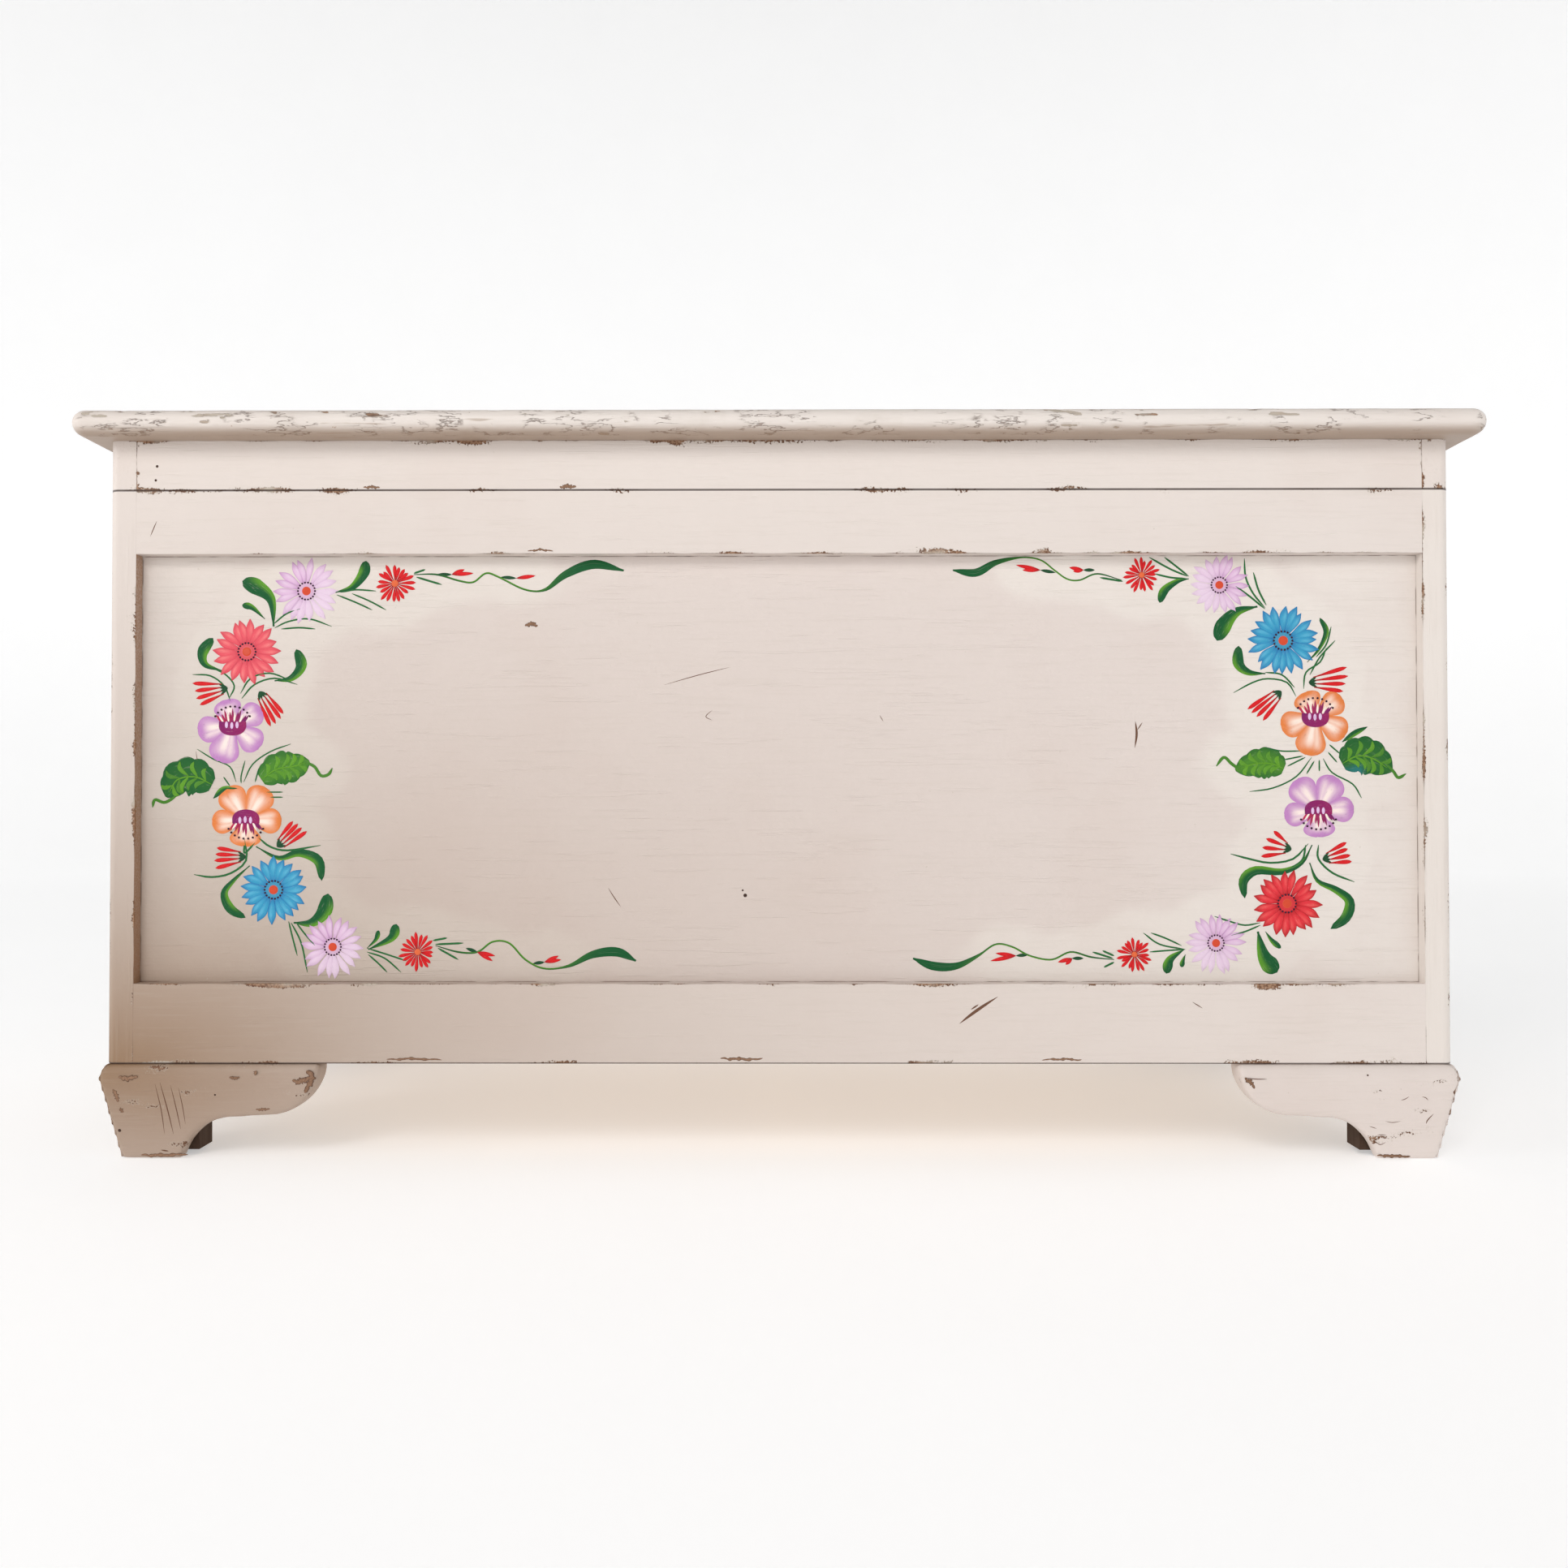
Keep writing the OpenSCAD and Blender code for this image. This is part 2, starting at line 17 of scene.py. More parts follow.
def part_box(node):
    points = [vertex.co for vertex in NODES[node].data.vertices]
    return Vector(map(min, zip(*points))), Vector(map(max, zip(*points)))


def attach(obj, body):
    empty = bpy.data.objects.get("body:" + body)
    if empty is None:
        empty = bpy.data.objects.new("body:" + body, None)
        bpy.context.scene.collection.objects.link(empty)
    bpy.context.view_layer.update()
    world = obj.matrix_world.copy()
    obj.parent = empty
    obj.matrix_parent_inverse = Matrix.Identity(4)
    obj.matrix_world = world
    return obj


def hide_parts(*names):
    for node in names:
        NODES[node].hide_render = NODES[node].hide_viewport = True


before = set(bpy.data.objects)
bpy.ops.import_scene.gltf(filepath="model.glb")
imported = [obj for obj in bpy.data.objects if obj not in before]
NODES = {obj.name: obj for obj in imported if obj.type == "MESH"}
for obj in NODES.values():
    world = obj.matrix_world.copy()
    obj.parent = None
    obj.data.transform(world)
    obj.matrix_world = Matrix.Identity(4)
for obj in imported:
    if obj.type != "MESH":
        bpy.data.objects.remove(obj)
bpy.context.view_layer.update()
SEED = 7
MM = 0.001

# ---------------------------------------------------------------- colours


def srgb(red, green, blue):
    """A display colour, 0 to 255, as the linear colour that the shaders use."""
    linear = []
    for value in (red, green, blue):
        v = value / 255
        linear.append(v / 12.92 if v <= 0.04045 else ((v + 0.055) / 1.055) ** 2.4)
    return (*linear, 1.0)


def blended(a, b, share):
    """The colour that is share of the way from a to b."""
    share = max(0.0, min(1.0, share))
    return tuple(x + (y - x) * share for x, y in zip(a, b))


PAINT_PINK = srgb(221, 210, 204)
PAINT_CREAM = srgb(228, 220, 213)
PAINT_DULL = srgb(209, 192, 183)
# A brown used for painted shade, toward the lower left and on faces that look down, and for aged paint in
# scratches.
PAINT_SHADE_AND_AGE = srgb(140, 110, 82)
UNDERCOAT = srgb(186, 174, 160)
BARE_WOOD = srgb(158, 124, 98)
BARE_DARK = srgb(104, 72, 54)
# Brown painted as shade on the left front stile's inner face.
SIDE_SHADE_BROWN = srgb(150, 108, 74)
# Near black, painted as shade in the hollows behind the feet.
SHADOW_DARK = srgb(44, 22, 16)
GRIME = srgb(96, 66, 48)
JOINT = srgb(52, 36, 30)
PINE_LIGHT = srgb(218, 186, 142)
PINE_DARK = srgb(176, 134, 92)
KNOT = srgb(96, 60, 36)
HINGE_STEEL = srgb(150, 148, 142)
SCREW_STEEL = srgb(168, 166, 160)
RUST = srgb(112, 62, 34)
NAIL_HOLE = srgb(50, 32, 26)

LEAF_DARK = srgb(6, 84, 40)
LEAF_LIGHT = srgb(100, 160, 36)
LEAF_BLUE = srgb(40, 120, 130)
STEM_GREEN = srgb(34, 104, 52)
CALYX = srgb(18, 72, 40)
RED = srgb(216, 16, 24)
RED_DEEP = srgb(168, 16, 24)
CORAL = srgb(226, 86, 98)
CORAL_LIGHT = srgb(240, 142, 138)
CRIMSON = srgb(220, 48, 58)
CRIMSON_LIGHT = srgb(236, 100, 96)
BLUE = srgb(56, 152, 190)
BLUE_DEEP = srgb(36, 112, 170)
BLUE_LIGHT = srgb(104, 188, 214)
LILAC = srgb(218, 182, 212)
LILAC_PALE = srgb(228, 208, 224)
LILAC_DEEP = srgb(188, 138, 186)
DISC = srgb(206, 72, 44)
STAR_EYE = srgb(222, 104, 60)
STAMEN = srgb(222, 190, 224)
CORAL_DEEP = srgb(206, 66, 82)
DOT = srgb(52, 18, 44)
PURPLE = srgb(186, 128, 186)
ORANGE = srgb(220, 124, 62)
PETAL_CREAM = srgb(248, 234, 222)
MAGENTA = srgb(122, 22, 96)
MAGENTA_RED = srgb(184, 40, 80)

# ---------------------------------------------------------------- node helpers


class Tree:
    """A material and a short way to wire its nodes."""

    def __init__(self, name):
        self.material = bpy.data.materials.new(name)
        self.material.use_nodes = True
        self.nodes = self.material.node_tree.nodes
        self.links = self.material.node_tree.links
        self.shader = self.nodes["Principled BSDF"]

    def put(self, socket, value):
        if isinstance(value, bpy.types.NodeSocket):
            self.links.new(value, socket)
        else:
            socket.default_value = value

    def math(self, operation, a, b=0.0):
        node = self.nodes.new("ShaderNodeMath")
        node.operation = operation
        self.put(node.inputs[0], a)
        self.put(node.inputs[1], b)
        return node.outputs[0]

    def plus(self, a, b):
        return self.math("ADD", a, b)

    def minus(self, a, b):
        return self.math("SUBTRACT", a, b)

    def times(self, a, b):
        return self.math("MULTIPLY", a, b)

    def vector(self, operation, a, b):
        node = self.nodes.new("ShaderNodeVectorMath")
        node.operation = operation
        self.put(node.inputs[0], a)
        self.put(node.inputs[1], b)
        return node.outputs["Value" if operation == "DOT_PRODUCT" else "Vector"]

    def scaled(self, vector, by):
        return self.vector("MULTIPLY", vector, by)

    def parts(self, vector):
        node = self.nodes.new("ShaderNodeSeparateXYZ")
        self.put(node.inputs[0], vector)
        return node.outputs

    def step(self, value, low, high, start=0.0, end=1.0):
        """A smooth step from start at low to end at high."""
        node = self.nodes.new("ShaderNodeMapRange")
        node.interpolation_type = "SMOOTHSTEP"
        self.put(node.inputs["Value"], value)
        node.inputs["From Min"].default_value = low
        node.inputs["From Max"].default_value = high
        node.inputs["To Min"].default_value = start
        node.inputs["To Max"].default_value = end
        return node.outputs["Result"]

    def mix(self, share, a, b):
        node = self.nodes.new("ShaderNodeMix")
        node.data_type = "RGBA"
        self.put(node.inputs[0], share)
        self.put(node.inputs[6], a)
        self.put(node.inputs[7], b)
        return node.outputs[2]

    def noise(self, vector, scale, detail=3.0, roughness=0.55):
        node = self.nodes.new("ShaderNodeTexNoise")
        self.put(node.inputs["Vector"], vector)
        node.inputs["Scale"].default_value = scale
        node.inputs["Detail"].default_value = detail
        node.inputs["Roughness"].default_value = roughness
        return node.outputs["Fac"]

    def place(self):
        """The point on the surface at rest, in metres in the shared frame."""
        return self.nodes.new("ShaderNodeTexCoord").outputs["Object"]

    def facing(self):
        """The surface's own direction in the piece's frame."""
        return self.nodes.new("ShaderNodeTexCoord").outputs["Normal"]

    def faces(self, direction):
        """1 where the surface faces the direction, 0 where it is square to it."""
        return self.vector("DOT_PRODUCT", self.facing(), direction)

    def attribute(self, name, output="Fac"):
        node = self.nodes.new("ShaderNodeAttribute")
        node.attribute_name = name
        return node.outputs[output]

    def bump(self, height, distance, strength=1.0):
        node = self.nodes.new("ShaderNodeBump")
        node.inputs["Strength"].default_value = strength
        node.inputs["Distance"].default_value = distance
        self.put(node.inputs["Height"], height)
        self.links.new(node.outputs["Normal"], self.shader.inputs["Normal"])

    def finish(self, colour, roughness, metallic=0.0, specular=0.4):
        self.put(self.shader.inputs["Base Color"], colour)
        self.put(self.shader.inputs["Roughness"], roughness)
        self.shader.inputs["Metallic"].default_value = metallic
        self.shader.inputs["Specular IOR Level"].default_value = specular
        return self.material


ALONG = {"x": (0.05, 1.0, 1.0), "y": (1.0, 0.05, 1.0), "z": (1.0, 1.0, 0.05)}


def edge_distance(tree, point, low, high):
    """How far the point is from the nearest arris of the box from low to high."""
    from_low = tree.vector("SUBTRACT", point, low)
    from_high = tree.vector("SUBTRACT", high, point)
    x, y, z = tree.parts(tree.vector("MINIMUM", from_low, from_high))
    smaller = tree.math("MINIMUM", x, y)
    larger = tree.math("MAXIMUM", x, y)
    return tree.math("MAXIMUM", smaller, tree.math("MINIMUM", larger, z))


def pine_colour(tree, point, grain):
    """Bare pine: long streaks along the grain, with a few knots."""
    stretched = tree.scaled(point, ALONG[grain])
    streaks = tree.noise(stretched, 150, 5.0, 0.6)
    bands = tree.noise(stretched, 22, 2.0)
    share = tree.plus(tree.times(streaks, 0.7), tree.times(bands, 0.6))
    wood = tree.mix(tree.step(share, 0.5, 1.0), PINE_LIGHT, PINE_DARK)
    squeezed = tree.scaled(point, [max(0.35, v) for v in ALONG[grain]])
    knots = tree.step(tree.noise(squeezed, 13, 1.0), 0.74, 0.8)
    return tree.mix(tree.times(knots, 0.85), wood, KNOT), streaks


def paint_colour(tree, point, grain, cream):
    """Old oil paint: cream or pinker, with soft mottling, brush streaks, dull patches and painted shade
    that browns it toward the foot of the left end.
    """
    stretched = tree.scaled(point, ALONG[grain])
    streaks = tree.noise(stretched, 420, 3.0)
    cloud = tree.noise(point, 7, 3.0)
    base = tree.mix(cream, PAINT_PINK, PAINT_CREAM)
    base = tree.mix(tree.step(cloud, 0.45, 0.8, 0.0, 0.3), base, PAINT_DULL)
    # Painted shade, partly dirt: the paint is darkened toward brown near the foot of the left end.
    base = tree.mix(lower_left_shade(tree, point, cloud), base, PAINT_SHADE_AND_AGE)
    colour = tree.mix(tree.step(streaks, 0.5, 0.75, 0.0, 0.1), base, UNDERCOAT)
    ridges = tree.step(tree.noise(stretched, 230, 2.0), 0.6, 0.66, 0.0, 0.8)
    return colour, tree.plus(streaks, ridges)


# Where the painted shade toward the lower left centres, how far it spreads and how strong it is.
SHADE_CORNER = (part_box("left_front_stile")[0].x, 0.0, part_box("left_front_stile")[0].z)
SHADE_WIDE = 0.6
SHADE_TALL = 0.33
SHADE_MOST = 1.1
SHADE_FADE = 0.22


def lower_left_shade(tree, point, cloud):
    """Painted shade, partly dirt: how far the paint is darkened toward brown, most at the foot of the
    chest's left end and fading away from it.
    """
    offset = tree.vector("SUBTRACT", point, SHADE_CORNER)
    scaled = tree.scaled(offset, (1 / SHADE_WIDE, 0.0, 1 / SHADE_TALL))
    away = tree.math("SQRT", tree.vector("DOT_PRODUCT", scaled, scaled))
    away = tree.plus(away, tree.times(cloud, 0.12))
    return tree.times(tree.math("POWER", SHADE_FADE, away), SHADE_MOST)


def specks(tree, point):
    """Small scattered nicks that show the undercoat."""
    return tree.step(tree.noise(point, 230, 2.0), 0.76, 0.79)


def worn_arris(tree):
    """How sharply a finely meshed board turns outwards: 0 on the flat, 1 on an arris."""
    return tree.step(tree.nodes.new("ShaderNodeNewGeometry").outputs["Pointiness"], 0.51, 0.58)


def seams(tree, point, colour, levels):
    """Crisp dark joint lines. levels is a list of (axis, where it is on that axis)."""
    place = tree.parts(point)
    normal = tree.parts(tree.facing())
    for axis, level in levels:
        i = "xyz".index(axis)
        off = tree.math("ABSOLUTE", tree.minus(place[i], level))
        beside = tree.step(tree.math("ABSOLUTE", normal[i]), 0.95, 0.8)
        line = tree.step(off, 1.1 * MM, 0.5 * MM, 0.0, 0.85)
        line = tree.times(line, beside)
        colour = tree.mix(line, colour, JOINT)
    return colour


CHIP_LEVEL = 0.76
CHIP_LEVEL_PER_WEAR = 0.03
CHIP_REACH = 22 * MM
CURVED_ARRIS_REACH = 4.2 * MM
CURVED_FACE_DEPTH = 3.6 * MM


def chip_depth(tree, ragged, edge, wear, curved):
    """How far inside a chip the point is, in metres. Chips gather along the arrises."""
    level = CHIP_LEVEL - CHIP_LEVEL_PER_WEAR * wear
    reach = tree.times(tree.minus(ragged, level), CHIP_REACH)
    depth = tree.minus(reach, edge)
    if not curved:
        return depth
    arris = tree.times(worn_arris(tree), CURVED_ARRIS_REACH)
    worn = tree.plus(tree.minus(reach, CURVED_FACE_DEPTH), arris)
    return tree.math("MAXIMUM", tree.minus(depth, 1 * MM), worn)


def chipped_wood(tree, point, fine, curved):
    """What a chip shows: bare wood, with some undercoat left on flat boards."""
    wood = tree.mix(tree.step(fine, 0.4, 0.65), BARE_WOOD, BARE_DARK)
    if curved:
        return wood
    return tree.mix(tree.step(tree.noise(point, 30, 2.0), 0.36, 0.5), UNDERCOAT, wood)


def painted_board(name, box, grain, bare_side=None, wear=1.0, cream=0.2, curved=False,
                  joints=(), side_shade=0.0, shadow_side=None):
    """Painted wood with chipped arrises, dirt in its joints and one side left bare.

    The side-shade share paints the inward side brown as shade where it lies outside the cavity.
    The shadow-side direction names a side that is painted near black as shade instead of paint colour."""
    tree = Tree(name)
    point = tree.place()
    paint, streaks = paint_colour(tree, point, grain, cream)
    edge = edge_distance(tree, point, tuple(box[0]), tuple(box[1]))
    coarse = tree.noise(tree.scaled(point, [max(0.3, v) for v in ALONG[grain]]), 75, 2.0)
    fine = tree.noise(point, 620, 2.0)
    ragged = tree.plus(coarse, tree.times(fine, 0.35))
    depth = chip_depth(tree, ragged, edge, wear, curved)
    chip = tree.step(depth, 0.0, 0.4 * MM)
    halo = tree.step(depth, -1.2 * MM, 0.0)
    dirt = tree.step(edge, 0.6 * MM, 0.2 * MM, 0.0, 0.8)
    dirt = tree.times(dirt, tree.step(coarse, 0.4, 0.6, 0.1, 1.0))
    colour = tree.mix(tree.times(halo, 0.35), paint, UNDERCOAT)
    colour = tree.mix(dirt, colour, GRIME)
    colour = tree.mix(tree.times(specks(tree, point), 0.5), colour, UNDERCOAT)
    colour = tree.mix(chip, colour, chipped_wood(tree, point, fine, curved))
    colour = seams(tree, point, colour, joints)
    roughness = tree.step(chip, 0.0, 1.0, 0.5, 0.85)
    height = tree.minus(tree.times(streaks, 0.35), chip)
    height = tree.plus(height, tree.times(tree.noise(point, 130, 3.0), 0.8))
    if bare_side:
        inward = tree.step(tree.faces(bare_side), 0.6, 0.8)
        # Painted shade: the inward side is browned where it lies outside the cavity.
        if side_shade:
            side_shaded = tree.times(inward, tree.step(fine, 0.35, 0.6, 0.6, side_shade))
            colour = tree.mix(side_shaded, colour, SIDE_SHADE_BROWN)
        bare = tree.times(inward, in_cavity(tree, point))
        pine, _ = pine_colour(tree, point, grain)
        colour = tree.mix(bare, colour, pine)
        roughness = tree.math("MAXIMUM", roughness, tree.times(bare, 0.7))
    # Painted shade: the side facing into the foot's hollow is painted near black.
    if shadow_side:
        colour = tree.mix(tree.step(tree.faces(shadow_side), 0.5, 0.8), colour, SHADOW_DARK)
    tree.bump(height, 0.5 * MM, 0.8)
    return tree.finish(colour, roughness)


def in_cavity(tree, point):
    """1 inside the chest, which was never painted, 0 in front of its panels and behind them."""
    _, y, _ = tree.parts(point)
    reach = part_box("front_panel")[1].y
    return tree.step(tree.math("ABSOLUTE", y), -reach + 1.5 * MM, -reach)


def pine_board(name, grain):
    """Unpainted pine, planed and a little dusty."""
    tree = Tree(name)
    point = tree.place()
    colour, streaks = pine_colour(tree, point, grain)
    tree.bump(streaks, 0.4 * MM, 0.6)
    return tree.finish(colour, tree.step(streaks, 0.3, 0.7, 0.6, 0.78))


def shadowed_wood(name):
    """Pine painted near black as shade, for the hollows under the chest and behind its feet."""
    tree = Tree(name)
    pine, streaks = pine_colour(tree, tree.place(), "z")
    tree.bump(streaks, 0.5 * MM, 0.7)
    return tree.finish(tree.mix(0.95, pine, SHADOW_DARK), tree.step(streaks, 0.3, 0.7, 0.75, 0.88))


def steel(name, colour, rust_share):
    """Dull steel with rust freckles."""
    tree = Tree(name)
    point = tree.place()
    freckles = tree.noise(point, 320, 4.0, 0.65)
    rust = tree.step(freckles, 0.5, 0.68, 0.0, rust_share)
    tree.bump(freckles, 0.2 * MM, 0.5)
    roughness = tree.step(freckles, 0.4, 0.7, 0.34, 0.62)
    return tree.finish(tree.mix(rust, colour, RUST), roughness, 0.85)


def brushed_paint(name):
    """Decorating paint: the vertex colour, streaked along each brush stroke."""
    tree = Tree(name)
    stroke = tree.attribute("stroke", "Vector")
    stretched = tree.scaled(stroke, (3.2, 0.9, 9.0))
    streaks = tree.noise(stretched, 2.4, 3.0, 0.6)
    colour = tree.attribute("paint", "Color")
    lighter = tree.mix(tree.step(streaks, 0.55, 0.85, 0.0, 0.22), colour, PETAL_CREAM)
    darker = tree.mix(tree.step(streaks, 0.45, 0.2, 0.0, 0.22), lighter, DOT)
    tree.bump(streaks, 0.3 * MM, 0.7)
    return tree.finish(darker, tree.step(streaks, 0.3, 0.7, 0.4, 0.56), 0.0, 0.2)


PANEL_TONGUE = 6.5 * MM


def panel_paint(name):
    """The front panel: pinker repaint in the middle and cream around the garlands."""
    tree = Tree(name)
    point = tree.place()
    ragged = tree.times(tree.noise(point, 45, 3.0), 0.5)
    cream = tree.step(tree.plus(tree.attribute("cream"), ragged), 0.25, 1.25)
    paint, streaks = paint_colour(tree, point, "x", cream)
    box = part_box("front_panel")
    tongue = Vector((PANEL_TONGUE, 0, PANEL_TONGUE))
    edge = edge_distance(tree, point, tuple(box[0] + tongue), tuple(box[1] - tongue))
    coarse = tree.noise(point, 40, 2.0)
    dirt = tree.step(edge, 0.9 * MM, 0.4 * MM, 0.0, 0.6)
    dirt = tree.times(dirt, tree.step(coarse, 0.42, 0.56, 0.15, 1.0))
    colour = tree.mix(dirt, paint, GRIME)
    colour = tree.mix(tree.times(specks(tree, point), 0.4), colour, UNDERCOAT)
    lumps = tree.noise(point, 160, 3.0)
    height = tree.plus(tree.times(streaks, 0.5), lumps)
    tree.bump(height, 0.6 * MM, 0.8)
    return tree.finish(colour, tree.step(streaks, 0.3, 0.7, 0.42, 0.55))


def chipped_paint(name, bare_below, joints):
    """The lid's planks: crackled paint on the nose, flaked to grey-brown wood in the chips, with painted
    shade on the faces that look down.
    """
    tree = Tree(name)
    point = tree.place()
    paint, streaks = paint_colour(tree, point, "x", 0.9)
    stretched = tree.scaled(point, (0.2, 0.5, 1.0))
    fine = tree.noise(point, 520, 3.0)
    flakes = tree.plus(tree.attribute("chip"), tree.times(fine, 0.3))
    chip = tree.step(flakes, 0.62, 0.7)
    halo = tree.step(flakes, 0.3, 0.6)
    net = tree.math("ABSOLUTE", tree.minus(tree.noise(stretched, 150, 4.0, 0.62), 0.5))
    patches = tree.step(tree.noise(point, 38, 2.0), 0.48, 0.6)
    crackle = tree.times(tree.step(net, 0.018, 0.007), patches)
    crackle = tree.times(crackle, tree.attribute("nose"))
    wood = tree.mix(tree.step(tree.noise(stretched, 400, 3.0), 0.4, 0.62), BARE_WOOD, BARE_DARK)
    wood = tree.mix(tree.step(tree.noise(point, 25, 2.0), 0.42, 0.62), UNDERCOAT, wood)
    colour = tree.mix(tree.times(halo, 0.25), paint, UNDERCOAT)
    colour = tree.mix(tree.times(crackle, 0.6), colour, GRIME)
    colour = tree.mix(tree.step(tree.noise(point, 11, 5.0, 0.62), 0.54, 0.72, 0.0, 0.3), colour, UNDERCOAT)
    scratches = tree.noise(tree.scaled(point, (0.06, 1.0, 1.0)), 260, 3.0)
    colour = tree.mix(tree.step(scratches, 0.66, 0.72, 0.0, 0.45), colour, PAINT_SHADE_AND_AGE)
    colour = tree.mix(tree.times(specks(tree, point), 0.7), colour, BARE_WOOD)
    colour = tree.mix(chip, colour, wood)
    colour = seams(tree, point, colour, joints)
    # Painted shade: faces that look down, such as the underside of the nose, are darkened toward brown.
    below = tree.faces((0.0, 0.0, -1.0))
    colour = tree.mix(tree.step(below, 0.2, 1.0, 0.0, 0.7), colour, PAINT_SHADE_AND_AGE)
    bare = tree.times(tree.step(below, 0.9, 0.995), bare_below)
    bare = tree.times(bare, inside_skirt(tree, point))
    pine, _ = pine_colour(tree, point, "x")
    colour = tree.mix(bare, colour, tree.mix(0.5, pine, BARE_WOOD))
    height = tree.minus(tree.times(streaks, 0.3), chip)
    height = tree.minus(height, tree.times(crackle, 0.7))
    height = tree.plus(height, tree.noise(stretched, 190, 4.0))
    tree.bump(height, 0.8 * MM, 0.9)
    return tree.finish(colour, tree.step(chip, 0.0, 1.0, 0.46, 0.85))


SKIRT_FADE = 6 * MM


def inside_skirt(tree, point):
    """1 where the lid's underside lies within its skirt, 0 on the overhang outside it."""
    x, y, _ = tree.parts(point)
    reach_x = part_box("lid_skirt_right")[0].x
    reach_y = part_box("lid_skirt_front")[1].y
    within = tree.step(tree.math("ABSOLUTE", x), reach_x + SKIRT_FADE, reach_x)
    return tree.times(within, tree.step(y, reach_y - SKIRT_FADE, reach_y))


def scuff(name):
    """Bare wood seen through a scratch or a nail mark."""
    tree = Tree(name)
    grains = tree.noise(tree.place(), 900, 3.0)
    shade = tree.attribute("paint", "Color")
    colour = tree.mix(tree.step(grains, 0.35, 0.65, 0.0, 0.5), shade, BARE_DARK)
    return tree.finish(colour, tree.step(grains, 0.3, 0.7, 0.75, 0.9))


# ---------------------------------------------------------------- objects


def placed(name, data):
    """A new object in the scene."""
    thing = bpy.data.objects.new(name, data)
    bpy.context.scene.collection.objects.link(thing)
    return thing


def solid_piece(name, mesh, materials, sharp_degrees):
    """A finished bmesh as an object, smooth but for its sharp edges."""
    bmesh.ops.recalc_face_normals(mesh, faces=mesh.faces)
    data = bpy.data.meshes.new(name)
    mesh.to_mesh(data)
    mesh.free()
    for material in materials:
        data.materials.append(material)
    data.shade_smooth()
    data.set_sharp_from_angle(angle=math.radians(sharp_degrees))
    return placed(name, data)


# ---------------------------------------------------------------- CAD boards


def dress(node, material, bevel=0.0):
    """Gives a CAD node its material and softened arrises."""
    piece = NODES[node]
    piece.data.materials.clear()
    piece.data.materials.append(material)
    if bevel:
        soften = piece.modifiers.new("arris", "BEVEL")
        soften.width = bevel
        soften.segments = 2
        soften.limit_method = "ANGLE"
        soften.angle_limit = math.radians(40)
        soften.harden_normals = False
    return piece


ARRIS = 1.1 * MM
FOOT_VOXEL = 1.7 * MM
FOOT_WEAR = 1.6
SOUND_FOOT_WEAR = 0.5
OUTSIDE = {
    "front": (0.0, 1.0, 0.0),
    "back": (0.0, -1.0, 0.0),
    "left": (1.0, 0.0, 0.0),
    "right": (-1.0, 0.0, 0.0),
}
GRAIN = {"rail": "x", "stile": "z", "muntin": "z", "panel": "x"}
BOARD_CREAM = 0.4
PANEL_CREAM = 0.75
# Painted highlight: the right front stile, whose inner face the light falls on, is painted in the paler
# cream.
LIT_BOARDS = {"right_front_stile": 1.0}
# Painted shade: the left front stile's inner face, turned away from the light, is painted brown.
SHADED_SIDE_BOARDS = {"left_front_stile": 0.85}
ARRIS_SMOOTHING = 18

BODY_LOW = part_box("front_bottom_rail")[0]
BODY_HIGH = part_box("front_top_rail")[1]
LID_SEAM = ("z", BODY_HIGH.z)
FOOT_SEAM = ("z", BODY_LOW.z)
BODY_JOINTS = (LID_SEAM, FOOT_SEAM)


def dress_frames():
    """The four painted sides. Each board's inward face stays bare pine."""
    for node in NODES:
        side, _, kind = node.partition("_")
        if side not in OUTSIDE or "panel" in kind and side == "front":
            continue
        last = kind.split("_")[-1]
        if kind.startswith("panel"):
            last = "panel"
        if last not in GRAIN:
            continue
        grain = GRAIN[last]
        if side in ("left", "right") and grain == "x":
            grain = "y"
        # The right front stile's paler cream is a painted highlight.
        cream = LIT_BOARDS.get(node, PANEL_CREAM if last == "panel" else BOARD_CREAM)
        # The left front stile's browned inner face is painted shade.
        paint = painted_board(node + "_paint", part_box(node), grain, OUTSIDE[side], cream=cream,
                              joints=BODY_JOINTS, side_shade=SHADED_SIDE_BOARDS.get(node, 0.0))
        dress(node, paint, 0.0 if last == "panel" else ARRIS)


def in_sound_foot(node):
    """Whether the board belongs to the right front foot, which has kept most of its paint."""
    low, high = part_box(node)
    return low.x > 0 and low.y < 0


def dress_feet():
    """The foot boards, remeshed finely so that their curved arrises can be softened."""
    for node in NODES:
        if node.startswith(("foot_bracket", "foot_return")):
            grain, inward = ("x", (0.0, 1.0, 0.0)) if "bracket" in node else ("y", (1.0, 0.0, 0.0))
            middle = (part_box(node)[0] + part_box(node)[1]) / 2
            if (middle.y if grain == "x" else middle.x) > 0:
                inward = tuple(-v for v in inward)
            wear = SOUND_FOOT_WEAR if in_sound_foot(node) else FOOT_WEAR
            # Each foot board's inward face is painted near black as shade.
            paint = painted_board(node + "_paint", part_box(node), grain, wear=wear, cream=0.1,
                                  curved=True, joints=(FOOT_SEAM,), shadow_side=inward)
            piece = dress(node, paint)
            blunt = piece.modifiers.new("blunt", "REMESH")
            blunt.mode = "VOXEL"
            blunt.voxel_size = FOOT_VOXEL
            blunt.use_smooth_shade = True
            soften = piece.modifiers.new("arris", "SMOOTH")
            soften.factor = 0.5
            soften.iterations = ARRIS_SMOOTHING


def dress_lid_parts():
    for side in ("front", "left", "right"):
        node = "lid_skirt_" + side
        grain = "x" if side == "front" else "y"
        paint = painted_board(node + "_paint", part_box(node), grain, OUTSIDE[side], cream=0.5,
                              joints=(LID_SEAM,))
        dress(node, paint, ARRIS)
    batten_pine = pine_board("batten_pine", "y")
    for side in ("left", "right"):
        dress("lid_batten_" + side, batten_pine, ARRIS)


